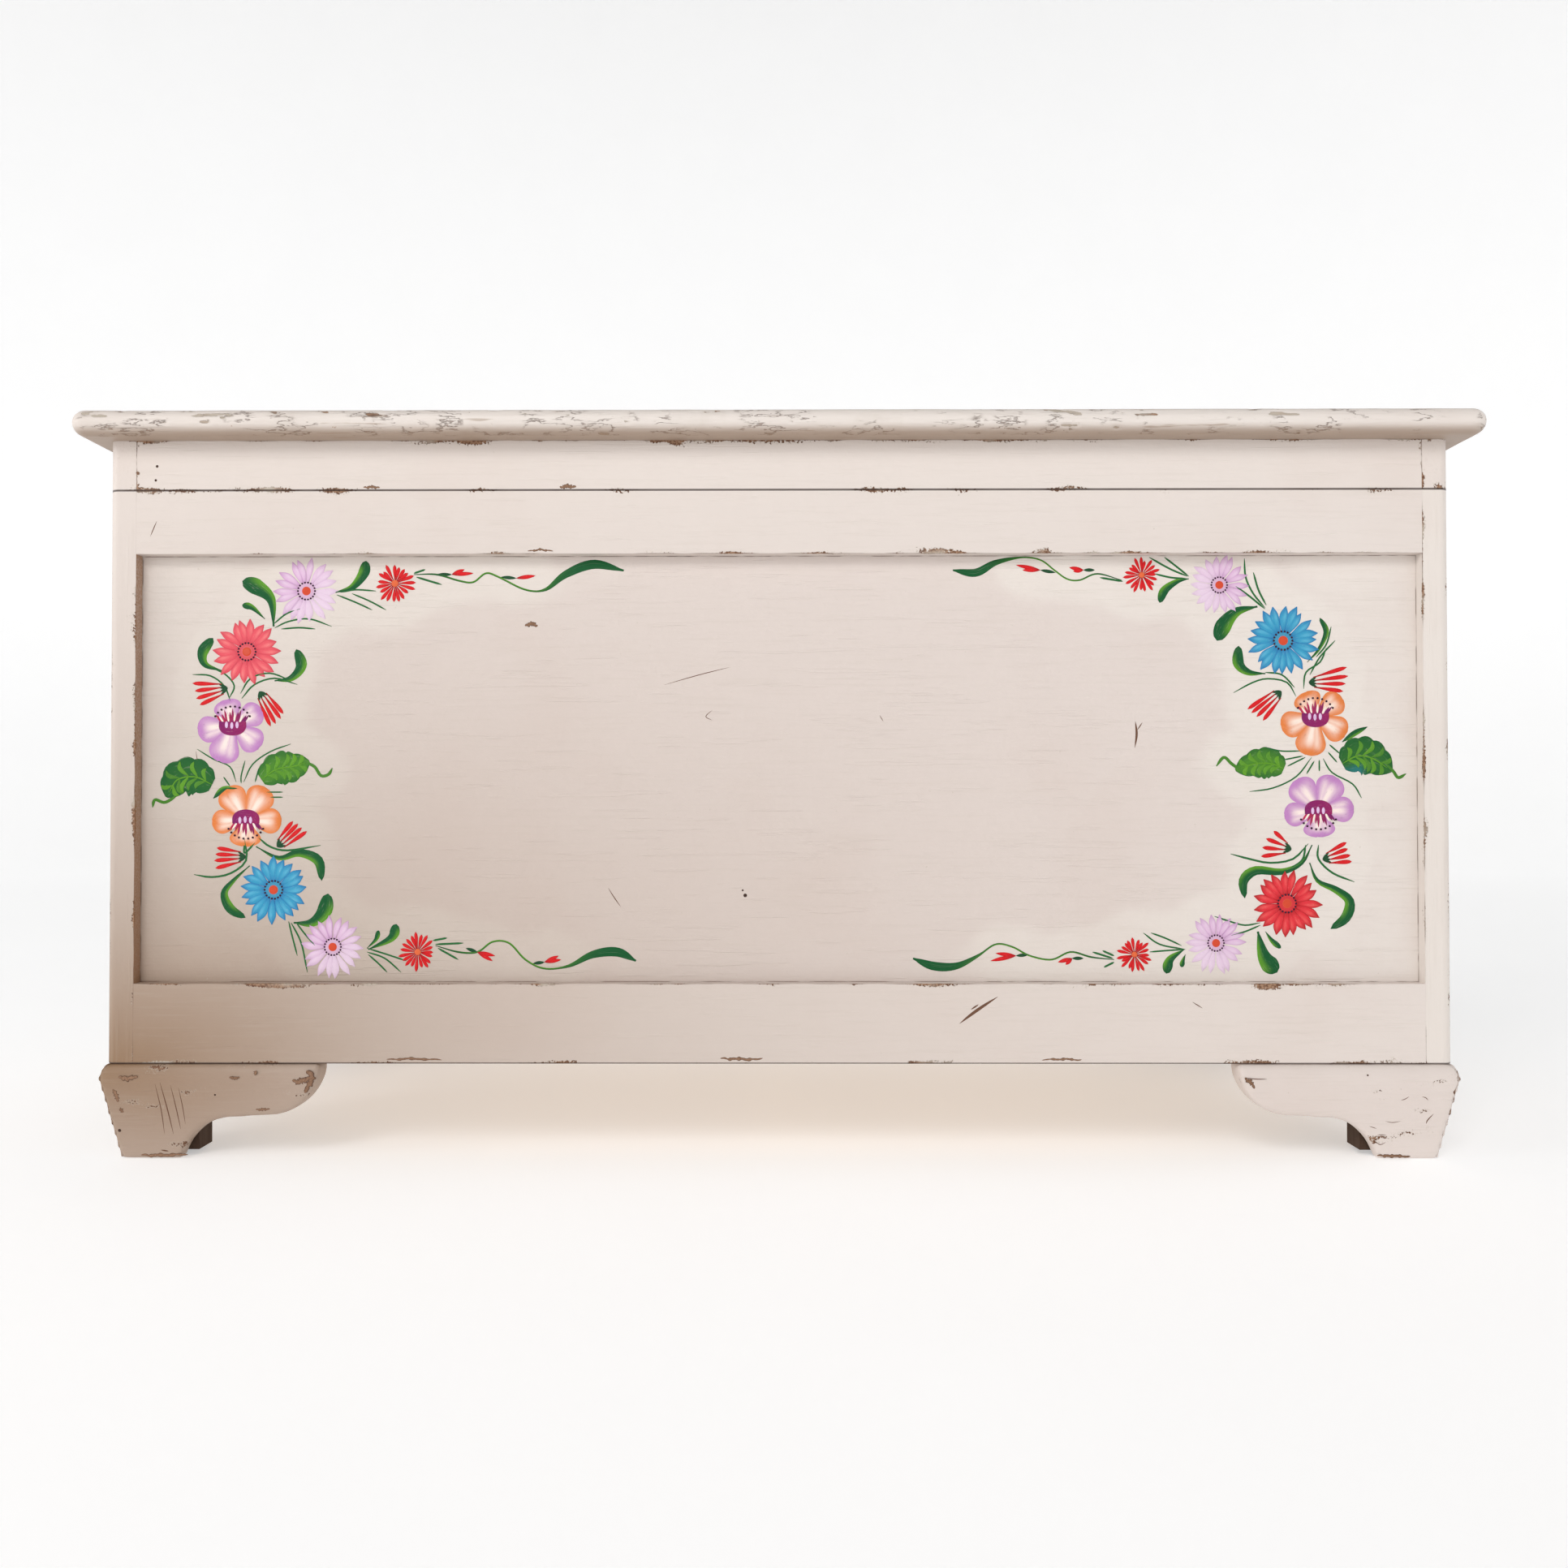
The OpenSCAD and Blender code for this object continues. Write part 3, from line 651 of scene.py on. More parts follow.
def dress_inside():
    floor_pine = pine_board("floor_pine", "x")
    cross_pine = pine_board("cross_pine", "y")
    # The glue blocks are painted near black as shade.
    block_pine = shadowed_wood("block_pine")
    for node in NODES:
        if node.startswith("floor_board"):
            dress(node, cross_pine if is_deep(node) else floor_pine, ARRIS)
        elif node in ("front_cleat", "back_cleat"):
            dress(node, floor_pine, ARRIS)
        elif node in ("left_cleat", "right_cleat", "floor_bearer"):
            dress(node, cross_pine, ARRIS)
        elif node.startswith("glue_block"):
            dress(node, block_pine)


def is_deep(node):
    """True if the board runs from front to back."""
    low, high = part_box(node)
    return high.y - low.y > high.x - low.x


def dress_metal():
    hinge = steel("hinge_steel", HINGE_STEEL, 0.55)
    screw = steel("screw_steel", SCREW_STEEL, 0.35)
    for node in NODES:
        if node.startswith(("hinge_leaf", "hinge_pin")):
            dress(node, hinge)
        elif "screws" in node or "nails" in node:
            dress(node, screw)


# ---------------------------------------------------------------- lid planks


LID_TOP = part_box("lid_plank_front")[1].z
LID_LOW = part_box("lid_plank_front")[0].z
LID_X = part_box("lid_plank_front")[1].x
NOSE_R = (LID_TOP - LID_LOW) / 2
CORNER_R = 12 * MM
NOSE_STEP = 1.6 * MM
NOSE_POINTS = 18
CORNER_POINTS = 14
CHIP_DEPTH = 0.55 * MM
NOSE_WAVE = 0.35 * MM
FLAKE_SCALE = Vector((48, 48, 230))
UPPER_FLAKING = -0.37
LOWER_FLAKING = -0.68


def plank_path(front, rear, rounded):
    """Points (place, outward) round a plank's worn edge, from its rear left to its rear right."""
    stations = []

    def run(start, end, outward):
        count = max(2, int((end - start).length / NOSE_STEP))
        for i in range(count):
            stations.append((start.lerp(end, i / count), outward))

    def turn(centre, start_angle):
        for i in range(CORNER_POINTS):
            a = start_angle + math.pi / 2 * i / CORNER_POINTS
            outward = Vector((math.cos(a), math.sin(a)))
            stations.append((centre + outward * CORNER_R, outward))

    left, right = Vector((-1, 0)), Vector((1, 0))
    if rounded:
        ahead = Vector((0, -1))
        inset = CORNER_R
        run(Vector((-LID_X, rear)), Vector((-LID_X, front + inset)), left)
        turn(Vector((-LID_X + inset, front + inset)), math.pi)
        run(Vector((-LID_X + inset, front)), Vector((LID_X - inset, front)), ahead)
        turn(Vector((LID_X - inset, front + inset)), math.pi * 1.5)
        run(Vector((LID_X, front + inset)), Vector((LID_X, rear)), right)
        stations.append((Vector((LID_X, rear)), right))
        return [stations]
    sides = []
    for x, outward in ((-LID_X, left), (LID_X, right)):
        stations = []
        run(Vector((x, rear)), Vector((x, front)), outward)
        stations.append((Vector((x, front)), outward))
        sides.append(stations if x < 0 else stations[::-1])
    return sides


def flaking(point, height):
    """How flaked the paint is: 0 whole, 1 gone. It is worst on the upper half of the nose."""
    broad = noise.fractal(point * FLAKE_SCALE, 0.8, 2.1, 4) * 0.9
    patch = noise.noise(Vector((point.x * 9, point.y * 9, 3.1)))
    level = UPPER_FLAKING if height > 0.2 else LOWER_FLAKING
    return max(0.0, min(1.0, (broad + patch * 0.5 + level) * 3 + 0.1))


def plank_mesh(front, rear, rounded):
    """A plank with its worn round nose, as one closed mesh with chip and nose attributes."""
    mesh = bmesh.new()
    chip_layer = mesh.verts.layers.float.new("chip")
    nose_layer = mesh.verts.layers.float.new("nose")
    middle = (LID_TOP + LID_LOW) / 2
    tops, bottoms, ends = [], [], []
    for stations in plank_path(front, rear, rounded):
        rows = []
        for place, outward in stations:
            base = place - outward * NOSE_R
            row = []
            for k in range(NOSE_POINTS + 1):
                a = math.pi * (0.5 - k / NOSE_POINTS)
                flat = base + outward * NOSE_R * math.cos(a)
                point = Vector((flat.x, flat.y, middle + NOSE_R * math.sin(a)))
                on_nose = 0 < k < NOSE_POINTS
                chip = flaking(point, math.sin(a)) if on_nose else 0.0
                wave = NOSE_WAVE * (0.5 + 0.5 * noise.noise(point * 38))
                sink = CHIP_DEPTH * chip + wave if on_nose else 0.0
                normal = Vector((outward.x * math.cos(a), outward.y * math.cos(a), math.sin(a)))
                vert = mesh.verts.new(point - normal * sink)
                vert[chip_layer] = chip
                vert[nose_layer] = float(on_nose)
                row.append(vert)
            rows.append(row)
        for a, b in zip(rows, rows[1:]):
            for k in range(NOSE_POINTS):
                mesh.faces.new((a[k], a[k + 1], b[k + 1], b[k]))
        tops.append([row[0] for row in rows])
        bottoms.append([row[-1] for row in rows])
        ends += [rows[0], rows[-1]]
    if rounded:
        mesh.faces.new(tops[0][::-1])
        mesh.faces.new(bottoms[0])
        mesh.faces.new(ends[0] + ends[1][::-1])
    else:
        mesh.faces.new((tops[0] + tops[1])[::-1])
        mesh.faces.new(bottoms[0] + bottoms[1])
        mesh.faces.new(ends[0] + ends[3][::-1])
        mesh.faces.new(ends[1][::-1] + ends[2])
    return mesh


def build_planks():
    """The three lid planks again, with a worn nose, in place of the CAD ones."""
    for part, rounded in (("front", True), ("middle", False), ("rear", False)):
        node = "lid_plank_" + part
        low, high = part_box(node)
        paint = chipped_paint(node + "_paint", 0.8, [("y", low.y), ("y", high.y)])
        mesh = plank_mesh(low.y, high.y, rounded)
        piece = solid_piece("painted_" + node, mesh, [paint], 60)
        soften = piece.modifiers.new("arris", "BEVEL")
        soften.width = 0.7 * MM
        soften.angle_limit = math.radians(60)
        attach(piece, "lid")
        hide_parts(node)


# ---------------------------------------------------------------- brush strokes


PANEL_LOW, PANEL_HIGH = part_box("front_panel")
PANEL_FACE = PANEL_LOW.y
MIDDLE_Z = (PANEL_LOW.z + PANEL_HIGH.z) / 2 - 0.5 * MM
PAINT_SINK_MM = 0.12
LAYER_MM = 0.05
painted_points = []


def panel_wave(x, z):
    """How far the hand-planed panel dips at a point, in metres, 0 or more."""
    return 0.25 * MM * (1 + noise.noise(Vector((x * 5, 0.3, z * 11))))


def panel_face(x, z):
    return PANEL_FACE + panel_wave(x, z)


def smooth(low, high, value):
    """A smooth step from 0 at low to 1 at high."""
    t = max(0.0, min(1.0, (value - low) / (high - low)))
    return t * t * (3 - 2 * t)


def spline(points, count):
    """A smooth line of count + 1 points through the given ones."""
    if len(points) == 2:
        a, b = Vector(points[0]), Vector(points[1])
        return [a.lerp(b, i / count) for i in range(count + 1)]
    p = [Vector(q) for q in points]
    p = [p[0] * 2 - p[1], *p, p[-1] * 2 - p[-2]]
    spans = len(p) - 3
    line = []
    for i in range(count + 1):
        u = min(i / count * spans, spans - 1e-6)
        k = int(u)
        t = u - k
        a, b, c, d = p[k : k + 4]
        line.append(
            (b * 2 + (c - a) * t + (a * 2 - b * 5 + c * 4 - d) * t * t
             + (b * 3 - a - c * 3 + d) * t**3) / 2
        )
    return line


def round_head(t):
    """Blunt and round at the start, tapering to a point."""
    if t < 0.3:
        return math.sqrt(max(0.0, 1 - ((0.3 - t) / 0.3) ** 2))
    return max(0.12, (1 - (t - 0.3) / 0.7) ** 0.8)


def two_points(t):
    """Pointed at both ends."""
    return max(0.05, math.sin(math.pi * t) ** 0.75)


def thin_line(t):
    return min(1.0, 0.3 + 5 * t, 0.25 + 5 * (1 - t))


def petal_shape(t):
    """Narrow where it starts, widest near its round tip."""
    if t > 0.72:
        return math.sqrt(max(0.01, 1 - ((t - 0.72) / 0.28) ** 2))
    return 0.24 + 0.76 * smooth(0.0, 0.72, t)


def pointed_petal(t):
    """Narrow where it starts, widest past its middle, with a soft point."""
    if t > 0.62:
        return max(0.08, 1 - ((t - 0.62) / 0.38) ** 1.8)
    return 0.24 + 0.76 * smooth(0.0, 0.62, t)


def broad_petal(t):
    """Wide, with a round tip."""
    if t > 0.6:
        return math.sqrt(max(0.02, 1 - ((t - 0.6) / 0.41) ** 2))
    return 0.34 + 0.66 * smooth(0.0, 0.6, t)


class Motif:
    """One painted motif: brush strokes and dots gathered in one mesh."""

    def __init__(self, name, seed, face=None):
        self.name = name
        self.face = face or panel_face
        self.garland = face is None
        self.random = random.Random(seed)
        self.mesh = bmesh.new()
        self.colour = self.mesh.verts.layers.float_color.new("paint")
        self.brush = self.mesh.verts.layers.float_vector.new("stroke")
        self.layer = 0

    def vert(self, x, z, proud, colour, across, along, seed):
        """A point that stands proud of the face, with its colour and its place in the stroke."""
        y = self.face(x * MM, z * MM + MIDDLE_Z) - proud * MM
        v = self.mesh.verts.new((x * MM, y, z * MM + MIDDLE_Z))
        v[self.colour] = colour
        v[self.brush] = (across, along, seed)
        return v

    def stroke(self, points, width, shape, tint, count=14, lanes=6, notch=0.0, thick=0.22):
        """One brush stroke of the given width. tint(t, s) colours it along t and across s."""
        line = spline(points, count)
        seed = self.random.random() * 40
        rows = []
        for i, p in enumerate(line):
            t = i / count
            ahead = line[min(i + 1, count)] - line[max(i - 1, 0)]
            side = Vector((-ahead.y, ahead.x)).normalized()
            half = width * shape(t) / 2
            pull = ahead.normalized() * notch * smooth(0.6, 1.0, t)
            row = []
            for j in range(lanes + 1):
                s = 2 * j / lanes - 1
                q = p + side * half * s - pull * (1 - abs(s))
                rise = thick * math.sqrt(max(0.0, 1 - s * s)) + 0.04 + LAYER_MM * self.layer
                row.append(self.vert(q.x, q.y, rise, tint(t, s), s, t * 3, seed))
            for s in (1, -1):
                q = p + side * half * s
                row.append(self.vert(q.x, q.y, -PAINT_SINK_MM, tint(t, s), s, t * 3, seed))
            rows.append(row)
        self.skin(rows)
        if self.garland:
            painted_points.extend((p.x, p.y) for p in line[:: max(1, count // 6)])

    def skin(self, rows):
        """Closes the rings of a stroke into one solid."""
        n = len(rows[0])
        for a, b in zip(rows, rows[1:]):
            for j in range(n):
                k = (j + 1) % n
                self.mesh.faces.new((a[j], a[k], b[k], b[j]))
        self.mesh.faces.new(rows[0][::-1])
        self.mesh.faces.new(rows[-1])

    def dot(self, x, z, radius, colour, sides=9, tall=0.3, squash=1.0):
        """A round dab of paint."""
        seed = self.random.random() * 40
        rings = []
        for share, proud in ((1.0, -PAINT_SINK_MM), (1.0, 0.05), (0.6, tall)):
            ring = []
            for i in range(sides):
                a = 2 * math.pi * i / sides
                rise = proud if proud < 0 else proud + LAYER_MM * self.layer
                dx, dz = math.cos(a) * radius * share, math.sin(a) * radius * share * squash
                ring.append(self.vert(x + dx, z + dz, rise, colour, share, 0, seed))
            rings.append(ring)
        self.skin(rings)

    def done(self, material):
        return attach(solid_piece(self.name, self.mesh, [material], 70), "chest")


def plain(colour):
    return lambda t, s: colour


def leaf_tint(t, s):
    """Dark green with a yellow-green light along one side."""
    light = smooth(-0.1, 0.75, s) * smooth(0.05, 0.35, t) * smooth(1.0, 0.7, t)
    return blended(LEAF_DARK, LEAF_LIGHT, 0.75 * light)


def leaf_tint_flipped(t, s):
    return leaf_tint(t, -s)


def vine_tint(t, s):
    """Dark green, lighter along the middle of the vine and toward one side."""
    light = smooth(0.0, 0.35, t) * smooth(0.85, 0.5, t) * (0.6 + 0.4 * s)
    return blended(LEAF_DARK, LEAF_LIGHT, 0.85 * light)


def red_tint(t, s):
    """Red that is deeper at its root and its edges."""
    return blended(RED_DEEP, RED, smooth(0.0, 0.5, t) * (1 - 0.4 * abs(s)))


# ---------------------------------------------------------------- motifs


def daisy(name, x, z, radius, petals, shades, pale_from=None, fill=1.02):
    """A daisy of single brush strokes round a dotted eye. shades is (deep, main, light)."""
    motif = Motif(name, SEED + int(abs(x) * 3 + z))
    deep, main, light = shades
    width = 2 * math.pi * radius * 0.72 / petals * fill
    for i in range(petals):
        angle = 2 * math.pi * i / petals + motif.random.uniform(-0.05, 0.05)
        reach = radius * motif.random.uniform(0.92, 1.04)
        bend = angle + motif.random.uniform(-0.09, 0.09)
        pale = 0.0
        if pale_from is not None:
            pale = 0.5 + 0.5 * math.cos(angle - math.radians(pale_from))

        def tint(t, s, pale=pale):
            colour = blended(deep, main, smooth(0.05, 0.4, t))
            shine = smooth(0.55, 0.0, abs(s + 0.25)) * smooth(0.25, 0.7, t)
            colour = blended(colour, light, 0.75 * shine)
            colour = blended(colour, deep, 0.85 * smooth(0.55, 1.0, max(abs(s), t * 0.98)))
            return blended(colour, LILAC_PALE, 0.75 * pale)

        motif.layer = i % 3
        points = [
            (x + math.cos(angle) * radius * 0.1, z + math.sin(angle) * radius * 0.1),
            (x + math.cos(angle) * reach * 0.6, z + math.sin(angle) * reach * 0.6),
            (x + math.cos(bend) * reach, z + math.sin(bend) * reach),
        ]
        motif.stroke(points, width * motif.random.uniform(0.95, 1.12), pointed_petal, tint, 12)
    motif.layer = 4
    motif.dot(x, z, radius * 0.27, blended(main, GRIME, 0.15), 18, 0.25)
    motif.layer = 6
    motif.dot(x, z, radius * 0.15, DISC, 14, 0.45)
    dots = 18
    for i in range(dots):
        a = 2 * math.pi * i / dots
        r = radius * 0.26
        motif.dot(x + math.cos(a) * r, z + math.sin(a) * r, radius * 0.032, DOT, 7, 0.3)
    return motif.done(folk_paint)


def star_flower(name, x, z, radius):
    """A small flower of narrow red strokes with round tips."""
    motif = Motif(name, SEED + int(abs(x) * 5 + z))
    count = 19
    for i in range(count):
        a = 2 * math.pi * i / count + motif.random.uniform(-0.06, 0.06)
        reach = radius * motif.random.uniform(0.8, 1.08)
        motif.layer = i % 3
        tip = (x + math.cos(a) * reach, z + math.sin(a) * reach)
        root = (x + math.cos(a) * radius * 0.12, z + math.sin(a) * radius * 0.12)
        motif.stroke([root, tip], radius * 0.18, petal_shape, red_tint, 8, 4)
    motif.layer = 5
    motif.dot(x, z, radius * 0.17, STAR_EYE, 12, 0.4)
    return motif.done(folk_paint)


FACE_UP = ((107, 21, 22), (28, 26, 20), (190, 28, 21), (252, 31, 24), (322, 28, 21))
FACE_DOWN = ((122, 30, 23), (58, 30, 23), (184, 27, 19), (-2, 28, 20), (268, 21, 25))


def pansy(name, x, z, rim, up, turn=0.0):
    """Five broad petals, pale inside, round a dark cup with a fringe and an arc of dots."""
    motif = Motif(name, SEED + int(abs(x) * 7 + z))

    def tint(t, s):
        edge = smooth(0.42, 0.95, max(t, 0.35 + 0.62 * abs(s)))
        colour = blended(PETAL_CREAM, rim, 0.1 + 0.9 * edge)
        return blended(colour, rim, 0.4 * smooth(0.0, 0.3, math.sin(9 * s) * t))

    for i, (degrees, reach, width) in enumerate(FACE_UP if up else FACE_DOWN):
        a = math.radians(degrees + turn)
        motif.layer = i % 4
        c, s = math.cos(a), math.sin(a)
        points = [(x + c * out, z + s * out) for out in (1, reach * 0.6, reach)]
        motif.stroke(points, width, broad_petal, tint, 16, 10, notch=1.6)
    way = 1 if up else -1
    motif.layer = 6
    for i in range(13):
        u = i / 12 * 2 - 1
        start = (x + u * 7, z)
        end = (x + u * 13, z + way * (13 - 5 * u * u) * (0.8 if i % 3 else 1))
        shade = PETAL_CREAM if i % 3 == 1 else blended(MAGENTA, MAGENTA_RED, 0.5 - 0.5 * u)
        motif.layer = 6 + i % 3
        motif.stroke([start, end], 1.9, two_points, plain(shade), 8, 4)
    motif.layer = 9
    cup = [(x + u, z + v * way) for u, v in ((-10.5, 2.6), (-5, -1.6), (5, -1.6), (10.5, 2.6))]
    motif.stroke(cup, 12.5, two_points, lambda t, s: blended(MAGENTA, MAGENTA_RED, 0.35 * t), 18)
    motif.layer = 12
    for u in (-1.1, -0.1, 0.9):
        motif.dot(x + u * 4.2, z + way * (0.6 * abs(u) - 0.6), 1.35, STAMEN, 12, 0.3, 2.1)
    for i in range(10):
        a = math.radians(28 + 124 * i / 9)
        r = 15.5
        motif.dot(x + math.cos(a) * r, z + way * math.sin(a) * r * 0.95, 0.85, DOT, 7, 0.3)
    return motif.done(folk_paint)


def scalloped(t):
    """A leaf's half width with a scalloped edge."""
    body = math.sin(math.pi * (0.06 + 0.94 * t)) ** 0.55
    return max(0.08, body * (0.9 + 0.12 * abs(math.sin(5.2 * math.pi * t))))


def big_leaf(name, body, width, tail, light_share, blue=False):
    """A broad leaf with curved light ribs and a curling stem. body runs from stem to tip."""
    motif = Motif(name, SEED + int(abs(body[0][0]) * 2 + body[0][1]))
    deep = blended(LEAF_DARK, LEAF_LIGHT, light_share)

    def tint(t, s):
        colour = blended(deep, LEAF_DARK, 0.6 * smooth(0.3, 1.0, abs(s)))
        if blue:
            patch = smooth(0.55, 0.0, abs(t - 0.25)) * smooth(0.2, 0.9, -s)
            colour = blended(colour, LEAF_BLUE, 0.7 * patch)
        return colour

    motif.stroke(body, width, scalloped, tint, 26, 10)
    line = spline(body, 12)
    motif.layer = 5
    rib = blended(LEAF_DARK, LEAF_LIGHT, 0.9)
    motif.stroke(body[:-1] + [line[11]], 1.1, thin_line, plain(rib), 16, 4)
    for i in (2, 4, 6, 8, 10):
        ahead = (line[i + 1] - line[i - 1]).normalized()
        side = Vector((-ahead.y, ahead.x))
        reach = width / 2 * scalloped(i / 12) * 0.8
        for way in (1, -1):
            start = line[i] - ahead * 2
            tip = line[i] + side * reach * way + ahead * reach * 0.3
            bend = line[i] + side * reach * 0.55 * way + ahead * reach * 0.35
            fade = motif.random.uniform(0.45, 1.0)
            shade = blended(deep, rib, fade)
            motif.stroke([start, bend, tip], 3.4, two_points, plain(shade), 10, 6)
    motif.layer = 2
    motif.stroke(tail, 2.4, thin_line, plain(blended(LEAF_DARK, LEAF_LIGHT, 0.45)), 16, 4)
    return motif.done(folk_paint)


def leaf(name, points, width, shape=round_head, tint=leaf_tint):
    """One brush-stroke leaf, whose points run from its head to its stem."""
    motif = Motif(name, SEED + int(abs(points[0][0]) + abs(points[0][1])))
    motif.stroke(points, width, shape, tint, 20, 8)
    return motif.done(folk_paint)


def leaves(side, rows):
    """Numbered leaves. A row is a leaf's width, its tint and its points."""
    for number, (width, tint, *points) in enumerate(rows, 1):
        leaf(f"{side}_leaf_{number}", points, width, tint=tint)


def sprig(name, lines, width=1.3):
    """Thin stems painted together."""
    motif = Motif(name, SEED + len(lines))
    for i, points in enumerate(lines):
        motif.layer = i % 2
        motif.stroke(points, width, thin_line, plain(STEM_GREEN), 12, 4)
    return motif.done(folk_paint)


def bud_cluster(name, base, *tips):
    """Red buds that fan out of a dark green calyx at base."""
    motif = Motif(name, SEED + int(abs(base[0]) + abs(base[1])))
    base = Vector(base)
    centre = sum((Vector(t) for t in tips), Vector((0, 0))) / len(tips)
    away = (centre - base).normalized()
    side = Vector((-away.y, away.x))
    spread = (len(tips) - 1) / 2
    for i, tip in enumerate(tips):
        root = base + side * (spread - i) * 2.6 + away * 2
        if (Vector(tips[0]) - centre).dot(side) < 0:
            root = base - side * (spread - i) * 2.6 + away * 2
        motif.layer = i % 2
        motif.stroke([root, Vector(tip)], 3.4, petal_shape, red_tint, 10, 4)
        motif.layer = 3
        sepal = [base + (root - base) * 0.1 - away * 2, root + away * 2.2]
        motif.stroke(sepal, 2.0, two_points, plain(CALYX), 8, 4)
    return motif.done(folk_paint)


VINE_LEAF_START = 0.56


def vine_shape(t):
    """A thin stem, then a leaf that is widest near its end."""
    along_leaf = max(0.0, (t - VINE_LEAF_START) / (1 - VINE_LEAF_START))
    leaf_part = math.sin(math.pi * along_leaf ** 2.2) ** 0.8 if along_leaf < 1 else 0.0
    return max(0.2 * min(1.0, 0.4 + 6 * t), leaf_part, 0.04)


def vine(name, width, *points):
    """A winding stem that swells into a long leaf at its end."""
    motif = Motif(name, SEED + int(abs(points[0][0])))
    motif.stroke(points, width, vine_shape, vine_tint, 64, 6)
    return motif.done(folk_paint)


def bud(name, calyx, *tips):
    """A single bud on a vine: a green calyx and one or two red petals."""
    motif = Motif(name, SEED + int(abs(calyx[0][0])))
    motif.stroke(calyx, 2.8, two_points, plain(CALYX), 8, 4)
    motif.layer = 2
    for tip in tips:
        motif.stroke([calyx[1], tip], 3.2, two_points, red_tint, 10, 4)
    return motif.done(folk_paint)


def numbered(paint, name, rows):
    """Motifs of one kind, numbered from 1. A row is what paint takes after the name."""
    for number, row in enumerate(rows, 1):
        paint(f"{name}_{number}", *row)


CORAL_SHADES = (CORAL_DEEP, CORAL, CORAL_LIGHT)
CRIMSON_SHADES = (RED_DEEP, CRIMSON, CRIMSON_LIGHT)
BLUE_SHADES = (BLUE_DEEP, BLUE, BLUE_LIGHT)
LILAC_SHADES = (LILAC_DEEP, LILAC, LILAC_PALE)


